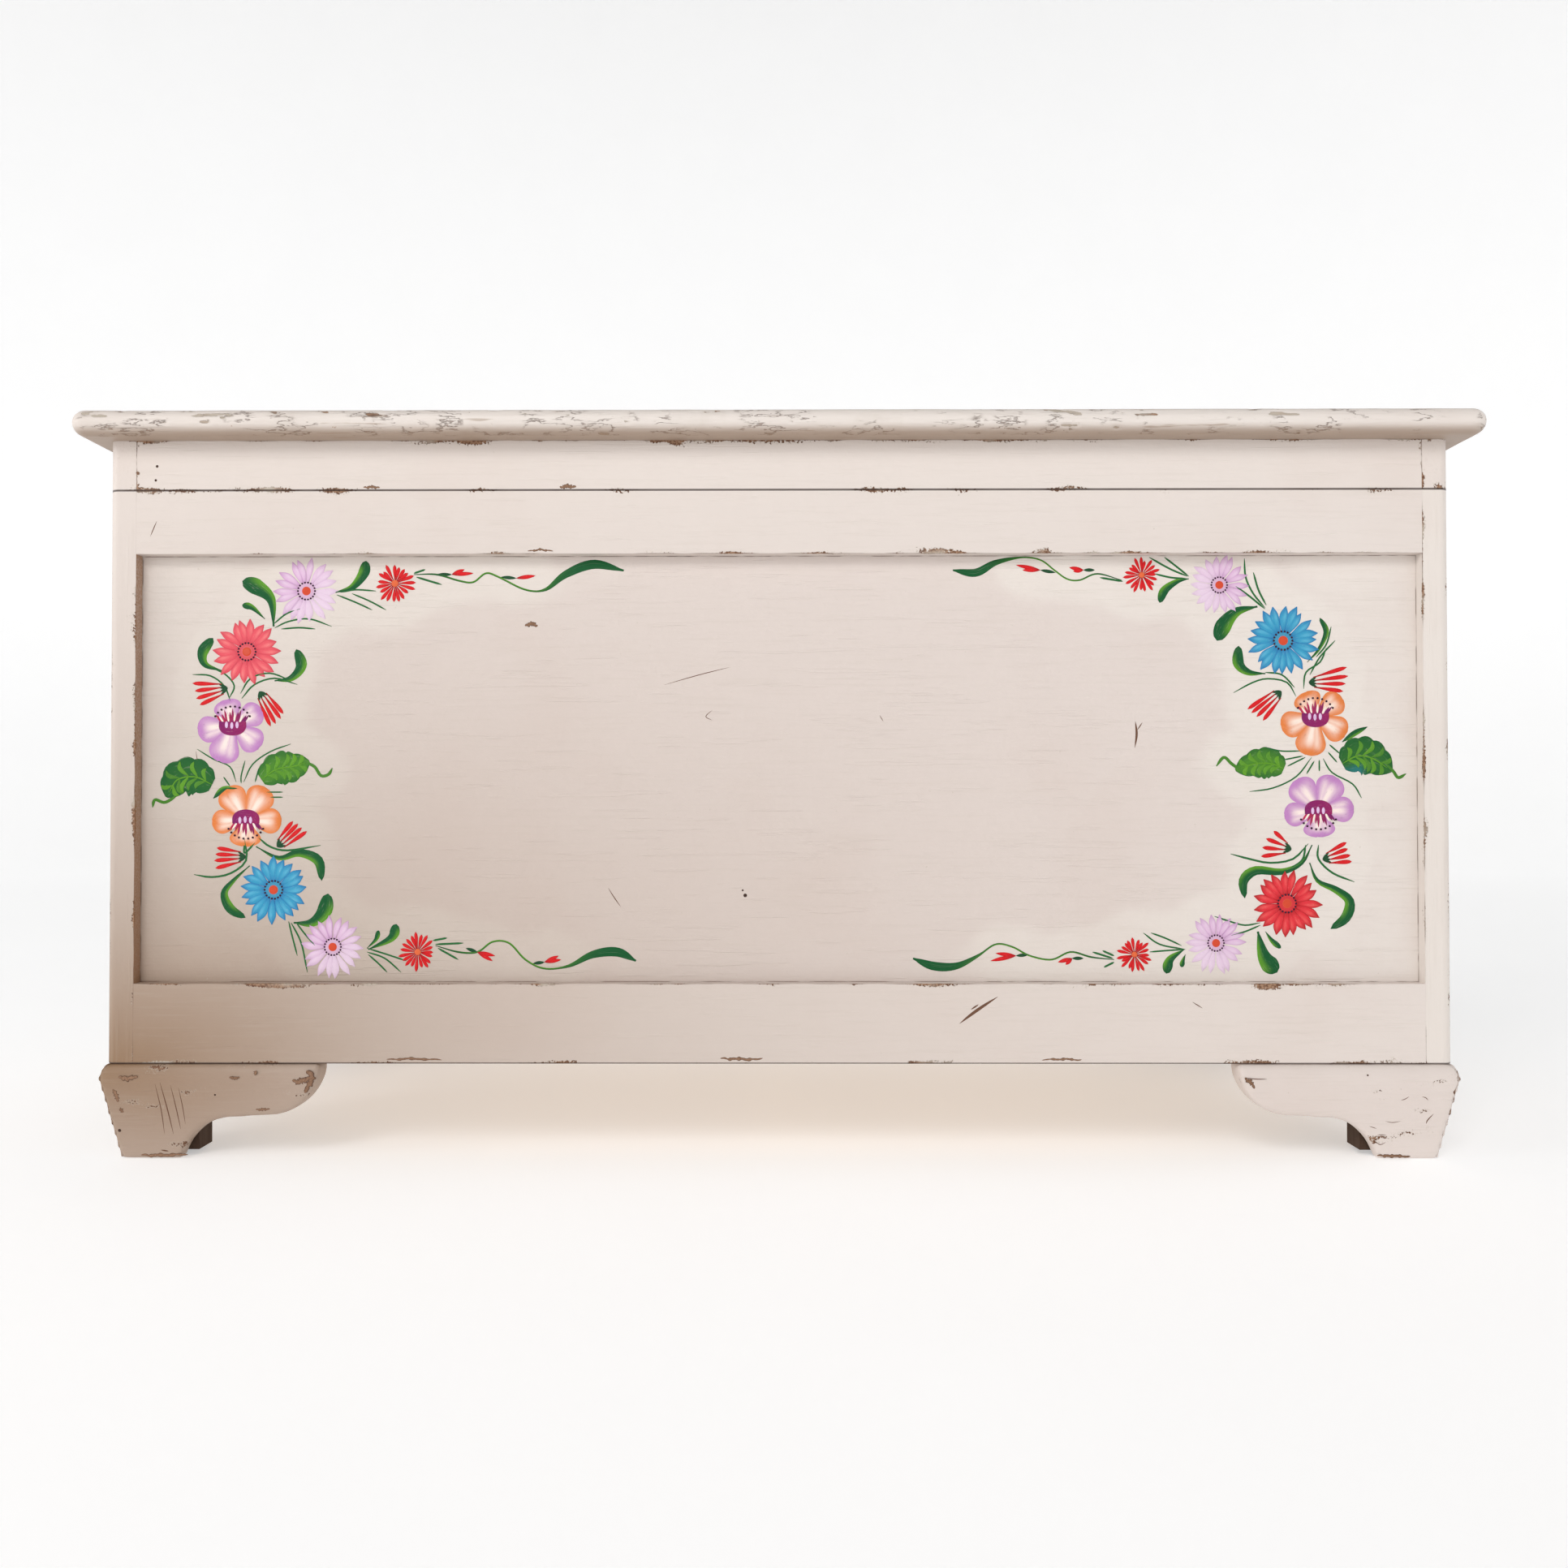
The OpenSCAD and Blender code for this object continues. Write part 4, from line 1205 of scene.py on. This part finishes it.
def left_garland():
    sprig("left_stems_top", [
        [(-398, 112), (-387, 117), (-371, 119), (-353, 113)],
        [(-393, 111), (-379, 112), (-366, 111)],
        [(-399, 115), (-389, 123), (-378, 127)],
        [(-349, 138), (-334, 132), (-321, 126)],
        [(-337, 139), (-323, 133), (-310, 126)],
        [(-346, 140), (-334, 142), (-318, 141)],
    ])
    sprig("left_stems_upper", [
        [(-463, 75), (-449, 74), (-438, 66), (-433, 54)],
        [(-424, 56), (-414, 67), (-398, 72), (-380, 67)],
        [(-447, 80), (-437, 75), (-430, 66), (-434, 56)],
        [(-387, 71), (-402, 76), (-417, 72), (-425, 60)],
    ])
    sprig("left_stems_middle", [
        [(-459, 16), (-446, 8), (-433, 2), (-428, -10)],
        [(-385, 20), (-401, 14), (-415, 4), (-422, -10)],
        [(-421, 7), (-424, -5), (-424, -11)],
        [(-410, 1), (-413, -10)],
        [(-438, -6), (-433, -13)],
        [(-391, -18), (-405, -18)],
        [(-391, -22), (-403, -22)],
    ], 1.1)
    sprig("left_stems_lower", [
        [(-410, -54), (-401, -61), (-387, -64), (-361, -60)],
        [(-421, -55), (-420, -72), (-432, -82), (-447, -85), (-461, -83)],
        [(-413, -58), (-421, -66), (-421, -58)],
    ], 1.6)
    sprig("left_stems_bottom", [
        [(-386, -120), (-383, -132), (-379, -147)],
        [(-384, -121), (-376, -137), (-371, -160)],
        [(-380, -121), (-373, -130), (-365, -139)],
        [(-324, -141), (-308, -146), (-293, -151)],
        [(-324, -144), (-310, -149), (-297, -160)],
        [(-323, -146), (-315, -153), (-308, -160)],
    ])
    leaves("left", [
        (13, leaf_tint, (-424, 149), (-412, 144), (-401, 134), (-399, 113)),
        (5.5, leaf_tint, (-424, 130), (-416, 128), (-406, 119)),
        (9, leaf_tint_flipped, (-326, 165), (-328, 155), (-337, 144), (-350, 140)),
        (9, leaf_tint, (-447, 104), (-455, 93), (-453, 83), (-440, 78)),
        (9, leaf_tint, (-381, 95), (-377, 82), (-385, 72), (-398, 70)),
        (8, leaf_tint, (-360, -88), (-363, -72), (-378, -66), (-394, -70), (-412, -61)),
        (7.5, leaf_tint_flipped, (-420, -117), (-432, -110), (-437, -98), (-430, -88), (-417, -76)),
        (12, leaf_tint, (-355, -98), (-358, -112), (-368, -121), (-382, -121)),
        (8, leaf_tint, (-301, -122), (-305, -133), (-323, -142)),
        (4, leaf_tint, (-315, -127), (-317, -134), (-324, -141)),
    ])
    big_leaf("left_big_leaf_outer", [(-447, -12), (-460, -6), (-474, -8), (-483, -22)], 31,
             [(-474, -20), (-484, -26), (-492, -24), (-494, -30)], 0.12)
    big_leaf("left_big_leaf_inner", [(-408, -8), (-396, 0), (-384, 2), (-370, 6)], 27,
             [(-374, 6), (-366, 2), (-361, -5), (-355, -4), (-352, 1)], 0.5)
    leaf("left_leaf_11", [(-446, -23), (-438, -16), (-427, -15)], 5, two_points)
    daisy("left_daisy_lilac_top", -373, 141, 26, 18, LILAC_SHADES, -35, 0.86)
    daisy("left_daisy_coral", -420, 93, 26.5, 18, CORAL_SHADES)
    pansy("left_pansy_purple", -431, 35, PURPLE, True)
    pansy("left_pansy_orange", -420, -40, ORANGE, False)
    daisy("left_daisy_blue", -398, -95, 27, 19, BLUE_SHADES)
    daisy("left_daisy_lilac_bottom", -351, -140, 25, 18, LILAC_SHADES, -60, 0.86)
    star_flower("left_star_top", -303, 147, 16)
    star_flower("left_star_bottom", -284, -144, 15)
    numbered(bud_cluster, "left_buds", [
        ((-437, 64), (-463, 68), (-461, 62), (-460, 56), (-457, 51)),
        ((-409, 60), (-391, 44), (-393, 40), (-397, 36), (-401, 34)),
        ((-394, -60), (-383, -41), (-379, -43), (-376, -46), (-372, -49)),
        ((-422, -69), (-443, -62), (-444, -67), (-445, -72), (-444, -78)),
    ])
    vine("left_vine_top", 7.5,
         (-288, 154), (-270, 154), (-252, 149), (-241, 148), (-231, 155), (-221, 152),
         (-200, 142), (-184, 142), (-168, 154), (-146, 162), (-122, 157))
    vine("left_vine_bottom", 7.5,
         (-270, -139), (-252, -144), (-237, -144), (-225, -136), (-212, -137), (-199, -150),
         (-184, -157), (-165, -155), (-146, -146), (-127, -144), (-112, -151))
    numbered(bud, "left_bud", [
        ([(-270, 154), (-258, 154)], (-248, 158), (-241, 155)),
        ([(-219, 152), (-207, 151)], (-192, 153)),
        ([(-246, -141), (-237, -144)], (-223, -147), (-225, -151)),
        ([(-193, -153), (-184, -152)], (-171, -150), (-173, -147)),
    ])
    sprig("left_vine_leaves", [
        [(-288, 155), (-279, 158)],
        [(-286, 152), (-266, 146)],
        [(-272, -135), (-261, -133)],
        [(-270, -138), (-248, -137)],
        [(-268, -141), (-252, -150)],
    ], 1.6)


def right_garland():
    sprig("right_stems_top", [
        [(293, 167), (309, 158), (323, 152)],
        [(305, 167), (314, 160), (324, 152)],
        [(297, 154), (310, 151), (323, 150)],
        [(361, 144), (372, 136), (384, 126)],
        [(368, 166), (369, 151), (375, 138), (384, 127)],
        [(375, 155), (379, 141), (385, 129)],
    ], 1.5)
    sprig("right_stems_upper", [
        [(359, 60), (374, 68), (386, 71), (401, 68), (408, 57)],
        [(384, 76), (397, 74), (407, 64)],
        [(439, 101), (427, 88), (419, 74)],
        [(432, 95), (427, 84), (416, 76), (414, 63)],
        [(436, 112), (432, 98), (424, 88)],
    ])
    sprig("right_stems_middle", [
        [(371, -18), (390, -15), (408, -6), (420, 9)],
        [(459, -23), (452, -12), (436, -3), (429, 8)],
        [(383, 17), (396, 14), (412, 14)],
        [(398, 7), (413, 10)],
        [(401, 2), (415, 9)],
        [(416, -4), (422, 6)],
        [(426, -2), (426, 7)],
        [(442, 12), (434, 19)],
        [(440, 5), (433, 13)],
    ], 1.2)
    sprig("right_stems_lower", [
        [(356, -67), (371, -71), (387, -74), (405, -71), (417, -59)],
        [(425, -60), (425, -71), (436, -82), (453, -89)],
        [(415, -60), (412, -72), (400, -80)],
    ], 1.6)
    sprig("right_stems_bottom", [
        [(343, -116), (355, -120), (367, -123), (379, -121)],
        [(356, -131), (367, -128), (379, -123)],
        [(287, -129), (300, -138), (320, -142)],
        [(293, -129), (304, -133), (317, -139)],
        [(292, -144), (304, -143), (319, -142)],
    ])
    leaves("right", [
        (7, leaf_tint, (301, 131), (305, 141), (315, 148), (324, 150)),
        (13, leaf_tint_flipped, (346, 101), (352, 114), (362, 124), (378, 128)),
        (9, leaf_tint_flipped, (363, 97), (363, 83), (371, 76), (384, 75)),
        (4.5, leaf_tint, (427, 119), (432, 108), (426, 94), (417, 84)),
        (8, leaf_tint, (367, -102), (366, -88), (376, -80), (396, -81), (412, -74), (420, -60)),
        (8.5, leaf_tint, (434, -126), (446, -117), (449, -104), (438, -95), (424, -88), (418, -74)),
        (14, leaf_tint, (392, -160), (382, -148), (377, -128)),
        (4.5, leaf_tint, (395, -141), (388, -135), (383, -128)),
        (8, leaf_tint, (305, -161), (308, -150), (319, -142)),
        (4, leaf_tint, (317, -156), (318, -151), (320, -146)),
    ])
    big_leaf("right_big_leaf_inner", [(398, 0), (388, 4), (376, 4), (360, -1)], 25,
             [(364, -1), (357, 4), (351, 9), (345, 2)], 0.5)
    big_leaf("right_big_leaf_outer", [(444, 4), (456, 10), (468, 8), (483, -2)], 31,
             [(478, 4), (484, -2), (488, -7), (494, -4)], 0.15, True)
    leaf("right_leaf_11", [(464, 33), (454, 28), (444, 21)], 4.5, two_points)
    daisy("right_daisy_lilac_top", 348, 145, 24, 18, LILAC_SHADES, 200, 0.86)
    daisy("right_daisy_blue", 398, 101, 28, 20, BLUE_SHADES)
    pansy("right_pansy_orange", 423, 41, ORANGE, True, 8)
    pansy("right_pansy_purple", 425, -33, PURPLE, False, 5)
    daisy("right_daisy_red", 400, -106, 27, 19, CRIMSON_SHADES)
    daisy("right_daisy_lilac_bottom", 344, -137, 24, 18, LILAC_SHADES, 240, 0.86)
    star_flower("right_star_top", 287, 153, 14)
    star_flower("right_star_bottom", 280, -146, 14)
    numbered(bud_cluster, "right_buds", [
        ((395, 60), (370, 47), (373, 44), (377, 41), (382, 38)),
        ((420, 68), (448, 80), (449, 73), (447, 67), (445, 61)),
        ((402, -63), (390, -49), (384, -55), (381, -62), (380, -69)),
        ((430, -71), (447, -58), (448, -63), (450, -68), (451, -73)),
    ])
    vine("right_vine_top", 6.5,
         (271, 149), (252, 154), (238, 149), (228, 150), (218, 157), (207, 165), (192, 167),
         (172, 163), (156, 155), (138, 157))
    vine("right_vine_bottom", 7,
         (264, -150), (246, -148), (230, -144), (215, -150), (198, -147), (184, -140),
         (171, -138), (157, -147), (140, -155), (122, -155), (106, -149))
    numbered(bud, "right_bud", [
        ([(219, 155), (207, 157)], (188, 161), (193, 157)),
        ([(250, 157), (241, 157)], (230, 159), (233, 156)),
        ([(197, -146), (187, -147)], (171, -145), (167, -151)),
        ([(240, -149), (231, -149)], (220, -152), (226, -154)),
    ])
    sprig("right_vine_leaves", [
        [(263, -149), (247, -144)],
        [(264, -147), (255, -143)],
        [(264, -152), (256, -156)],
        [(272, 148), (254, 151)],
    ], 1.6)


# ---------------------------------------------------------------- scratches and chips


FRONT_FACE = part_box("front_top_rail")[0].y
FOOT_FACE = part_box("foot_bracket_left_front")[0].y
FOOT_SHOULDER = 64 * MM
FOOT_LEAN = 12 * MM


def front_face(x, z):
    """The rails' face, which is flat. It takes a place because every face does."""
    return FRONT_FACE


def foot_face(x, z):
    """A front foot's face, which leans in below its shoulder."""
    return FOOT_FACE + FOOT_LEAN * max(0.0, 1 - z / FOOT_SHOULDER)


def marks(name, face, scratches=(), holes=(), flakes=()):
    """Damage on one face. Each place is (x, z) in millimetres, z from the floor."""
    mark = Motif(name, SEED + len(name), face)
    lift = MIDDLE_Z / MM

    def at(point):
        return (point[0], point[1] - lift)

    for width, *points in scratches:
        mark.stroke([at(p) for p in points], width, two_points, plain(BARE_DARK), 14, 4, thick=0.06)
    for radius, point in holes:
        mark.dot(*at(point), radius, NAIL_HOLE, 10, 0.08)
    for width, *points in flakes:
        line = spline([at(p) for p in points], 9)
        ragged = [(p.x, p.y + mark.random.uniform(-0.16, 0.16) * width) for p in line]
        shade = blended(BARE_WOOD, BARE_DARK, mark.random.uniform(0.2, 0.55))
        mark.layer = 0
        mark.stroke(ragged, width, torn_shape, plain(blended(shade, JOINT, 0.7)), 30, 6, thick=0.04)
        mark.layer = 1
        mark.stroke(ragged, width * 0.66, torn_shape, plain(shade), 30, 6, thick=0.04)
    return mark.done(scuff_paint)


def torn_shape(t):
    """The uneven width of a flake along its length."""
    ragged = 0.72 + 0.2 * math.sin(29 * t) + 0.16 * math.sin(53 * t + 1)
    return max(0.08, math.sin(math.pi * t) ** 0.5 * ragged)


def wear_marks():
    """The damage that the photograph shows. A row is a width, or a hole's radius, and its points."""
    marks("rail_marks", front_face, [
        (2.4, (141, 107), (150, 114), (160, 121), (171, 128)),
        (1.2, (150, 118), (156, 122)),
        (0.7, (-487, 500), (-492, 488)),
        (0.7, (322, 124), (330, 119)),
    ], [(1.1, (-487, 543)), (1.0, (-488, 532))], [
        (4.2, (-171, 526.5), (-165, 527), (-158, 526)),
        (3.0, (-325, 526), (-318, 526.5), (-312, 525.8)),
        (3.2, (-45, 80), (-30, 79.4), (-12, 80)),
        (2.6, (-305, 79), (-285, 79.6), (-262, 79)),
        (2.4, (205, 79), (222, 79.5), (236, 79)),
        (2.2, (-196, 476), (-186, 477), (-176, 476)),
    ])
    marks("panel_marks", panel_face, [
        (1.8, (281.5, 343), (282.5, 333), (281, 322)),
        (0.8, (283, 336), (287, 342)),
        (0.7, (-134, 212), (-129, 204), (-124, 197)),
        (0.6, (-52, 352), (-57, 347), (-52, 344)),
        (0.6, (-90, 372), (-62, 380), (-38, 386)),
        (0.5, (80, 348), (83, 343)),
        (0.5, (-460, 320), (-458, 308)),
    ], [(1.5, (-26, 206)), (0.8, (-28, 210))], [(4.5, (-200, 419), (-195, 420), (-190, 419))])
    marks("left_foot_marks", foot_face, [
        (0.7, (-484, 61), (-481, 40), (-480, 20)),
        (0.9, (-480, 62), (-476, 40), (-473, 20)),
        (0.7, (-472, 60), (-469, 40), (-467, 24)),
        (0.6, (-466, 58), (-464, 42), (-463, 28)),
        (1.2, (-484, 7), (-478, 6)),
    ], [(1.3, (-515, 23)), (0.8, (-438, 52))], [
        (5.0, (-512, 66), (-505, 65), (-497, 66)),
        (4.5, (-517, 57), (-515, 51), (-514, 46)),
        (3.4, (-513, 41), (-511, 38)),
        (3.2, (-426, 66), (-422, 65.5), (-418, 66)),
        (3.4, (-406, 68), (-405, 71)),
        (6.0, (-377, 64), (-370, 63), (-363, 66)),
        (3.0, (-407, 40), (-402, 40), (-396, 40.5)),
        (3.6, (-500, 2.6), (-484, 2.8), (-463, 3.4)),
        (7.0, (-366, 72), (-362, 66), (-368, 54)),
    ])
    marks("right_foot_marks", foot_face, [
        (0.6, (362, 66), (370, 65), (378, 65)),
        (0.9, (504, 29), (505, 32), (509, 37)),
        (0.6, (483, 48), (486, 49), (489, 51)),
        (0.6, (499, 51), (502, 50), (504, 48)),
        (0.6, (467, 20), (470, 20), (474, 20)),
        (0.6, (466, 14), (470, 12), (474, 14)),
        (0.5, (460, 27), (463, 26), (466, 25)),
        (0.5, (472, 31), (478, 30), (484, 31)),
    ], [(0.7, (456, 68)), (0.6, (466, 56))], [
        (4.4, (361, 66), (365, 63), (369, 58)),
        (3.4, (468, 2.8), (480, 2.6), (494, 2.4)),
    ])


# ---------------------------------------------------------------- front panel


GRID = 5 * MM
HALO_MM = 10
MIDDLE_HALF_WIDTH_MM = 430
MIDDLE_HALF_HEIGHT_MM = 225
END_CREAM = 0.6


def cream_share(points):
    """1 near the garlands and at the panel's ends, 0 in the repainted middle."""
    painted = np.array(painted_points)
    share = np.zeros(len(points))
    for i, (x, z) in enumerate(points):
        square = ((painted - (x, z)) ** 2).sum(1)
        near = 1 - math.exp(-0.5 * np.exp(-square / (2 * HALO_MM**2)).sum())
        oval = (abs(x) / MIDDLE_HALF_WIDTH_MM) ** 4 + (abs(z) / MIDDLE_HALF_HEIGHT_MM) ** 4
        share[i] = max(near, END_CREAM * smooth(0.75, 1.2, oval))
    return share


def build_panel():
    """The front panel as a fine, slightly wavy sheet with a flat back."""
    low, high = PANEL_LOW, PANEL_HIGH
    nx = round((high.x - low.x) / GRID)
    nz = round((high.z - low.z) / GRID)
    mesh = bmesh.new()
    layer = mesh.verts.layers.float.new("cream")
    columns = []
    for i in range(nx + 1):
        x = low.x + (high.x - low.x) * i / nx
        column = []
        for k in range(nz + 1):
            z = low.z + (high.z - low.z) * k / nz
            column.append(mesh.verts.new((x, PANEL_FACE + panel_wave(x, z), z)))
        columns.append(column)
    flat = [v for column in columns for v in column]
    shares = cream_share([(v.co.x / MM, (v.co.z - MIDDLE_Z) / MM) for v in flat])
    for v, share in zip(flat, shares):
        v[layer] = share
    for a, b in zip(columns, columns[1:]):
        for k in range(nz):
            mesh.faces.new((a[k], b[k], b[k + 1], a[k + 1]))
    rim = [c[0] for c in columns] + columns[-1][1:] + [c[-1] for c in columns[-2::-1]]
    rim += columns[0][-2:0:-1]
    back = [mesh.verts.new((v.co.x, high.y, v.co.z)) for v in rim]
    for i in range(len(rim)):
        j = (i + 1) % len(rim)
        mesh.faces.new((rim[i], back[i], back[j], rim[j]))
    inner = mesh.faces.new(back)
    inner.material_index = 1
    materials = [panel_paint("front_panel_paint"), pine_board("panel_pine", "x")]
    piece = solid_piece("painted_front_panel", mesh, materials, 40)
    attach(piece, "chest")
    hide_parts("front_panel")


# ---------------------------------------------------------------- camera, light and floor


LENS_MM = 29.08
SENSOR_MM = 36
CAMERA_PLACE_MM = Vector((8.5, -1223.2, 280.1))
PITCH, ROLL, YAW = (math.radians(degrees) for degrees in (0.781, 0.027, 0.224))


def make_camera():
    """The photograph's viewpoint: in front of the chest, about halfway up it."""
    data = bpy.data.cameras.new("camera")
    data.lens = LENS_MM
    data.sensor_width = SENSOR_MM
    data.clip_end = 30
    camera = placed("camera", data)
    camera.location = CAMERA_PLACE_MM * MM
    camera.rotation_euler = (math.pi / 2 + PITCH, ROLL, YAW)
    bpy.context.scene.camera = camera


def area_light(name, place, aim, size, power, colour):
    """A square soft light that points at aim, its power in watts."""
    data = bpy.data.lights.new(name, "AREA")
    data.shape = "SQUARE"
    data.size = size
    data.energy = power
    data.color = colour
    light = placed(name, data)
    light.location = place
    light.rotation_euler = (Vector(aim) - Vector(place)).to_track_quat("-Z", "Y").to_euler()


WHITE = (1, 1, 1, 1)
WORLD_STRENGTH = 0.22


def make_lights():
    """An even white world, a soft key light from the upper left and a low one along the front."""
    world = bpy.data.worlds.new("studio")
    bpy.context.scene.world = world
    world.use_nodes = True
    background = world.node_tree.nodes["Background"]
    background.inputs["Color"].default_value = WHITE
    background.inputs["Strength"].default_value = WORLD_STRENGTH
    area_light("key", place=(-1.6, -4.4, 3.7), aim=(0.1, 0, 0.4), size=2.0, power=92,
               colour=(1.0, 0.99, 0.985))
    area_light("side", place=(-4.0, -1.5, 1.4), aim=(0.4, -0.2, 0.3), size=1.0, power=28,
               colour=(1.0, 0.99, 0.98))


FLOOR_GLOW = 0.42
FLOOR_GREY = (0.7, 0.7, 0.7, 1)
FLOOR_PALE = (0.73, 0.73, 0.73, 1)


def floor_white():
    """A pale matt paper that glows a little."""
    tree = Tree("sweep_white")
    cloud = tree.noise(tree.place(), 3)
    tree.shader.inputs["Emission Color"].default_value = WHITE
    tree.shader.inputs["Emission Strength"].default_value = FLOOR_GLOW
    return tree.finish(tree.mix(cloud, FLOOR_GREY, FLOOR_PALE), 0.9)


def make_floor():
    """A pale studio floor that curves up into a round wall."""
    flat, bend, tall, turns, bend_steps = 4.6, 1.4, 5.0, 64, 12
    profile = [(0.02, 0.0), (flat, 0.0)]
    for i in range(1, bend_steps + 1):
        a = math.pi / 2 * i / bend_steps
        profile.append((flat + bend * math.sin(a), bend - bend * math.cos(a)))
    profile.append((flat + bend, tall))
    verts = []
    for radius, z in profile:
        for i in range(turns):
            a = 2 * math.pi * i / turns
            verts.append((radius * math.cos(a), radius * math.sin(a), z))
    faces = [list(range(turns))]
    for ring in range(len(profile) - 1):
        for i in range(turns):
            j = (i + 1) % turns
            low, high = ring * turns, (ring + 1) * turns
            faces.append((high + i, high + j, low + j, low + i))
    data = bpy.data.meshes.new("sweep")
    data.from_pydata(verts, [], faces)
    data.materials.append(floor_white())
    data.shade_smooth()
    placed("sweep", data)


# ---------------------------------------------------------------- all together


make_camera()
make_lights()
make_floor()
bpy.context.scene.view_settings.view_transform = "Standard"
folk_paint = brushed_paint("folk_paint")
scuff_paint = scuff("bare_marks")
dress_frames()
dress_feet()
dress_lid_parts()
dress_inside()
dress_metal()
build_planks()
left_garland()
right_garland()
wear_marks()
build_panel()
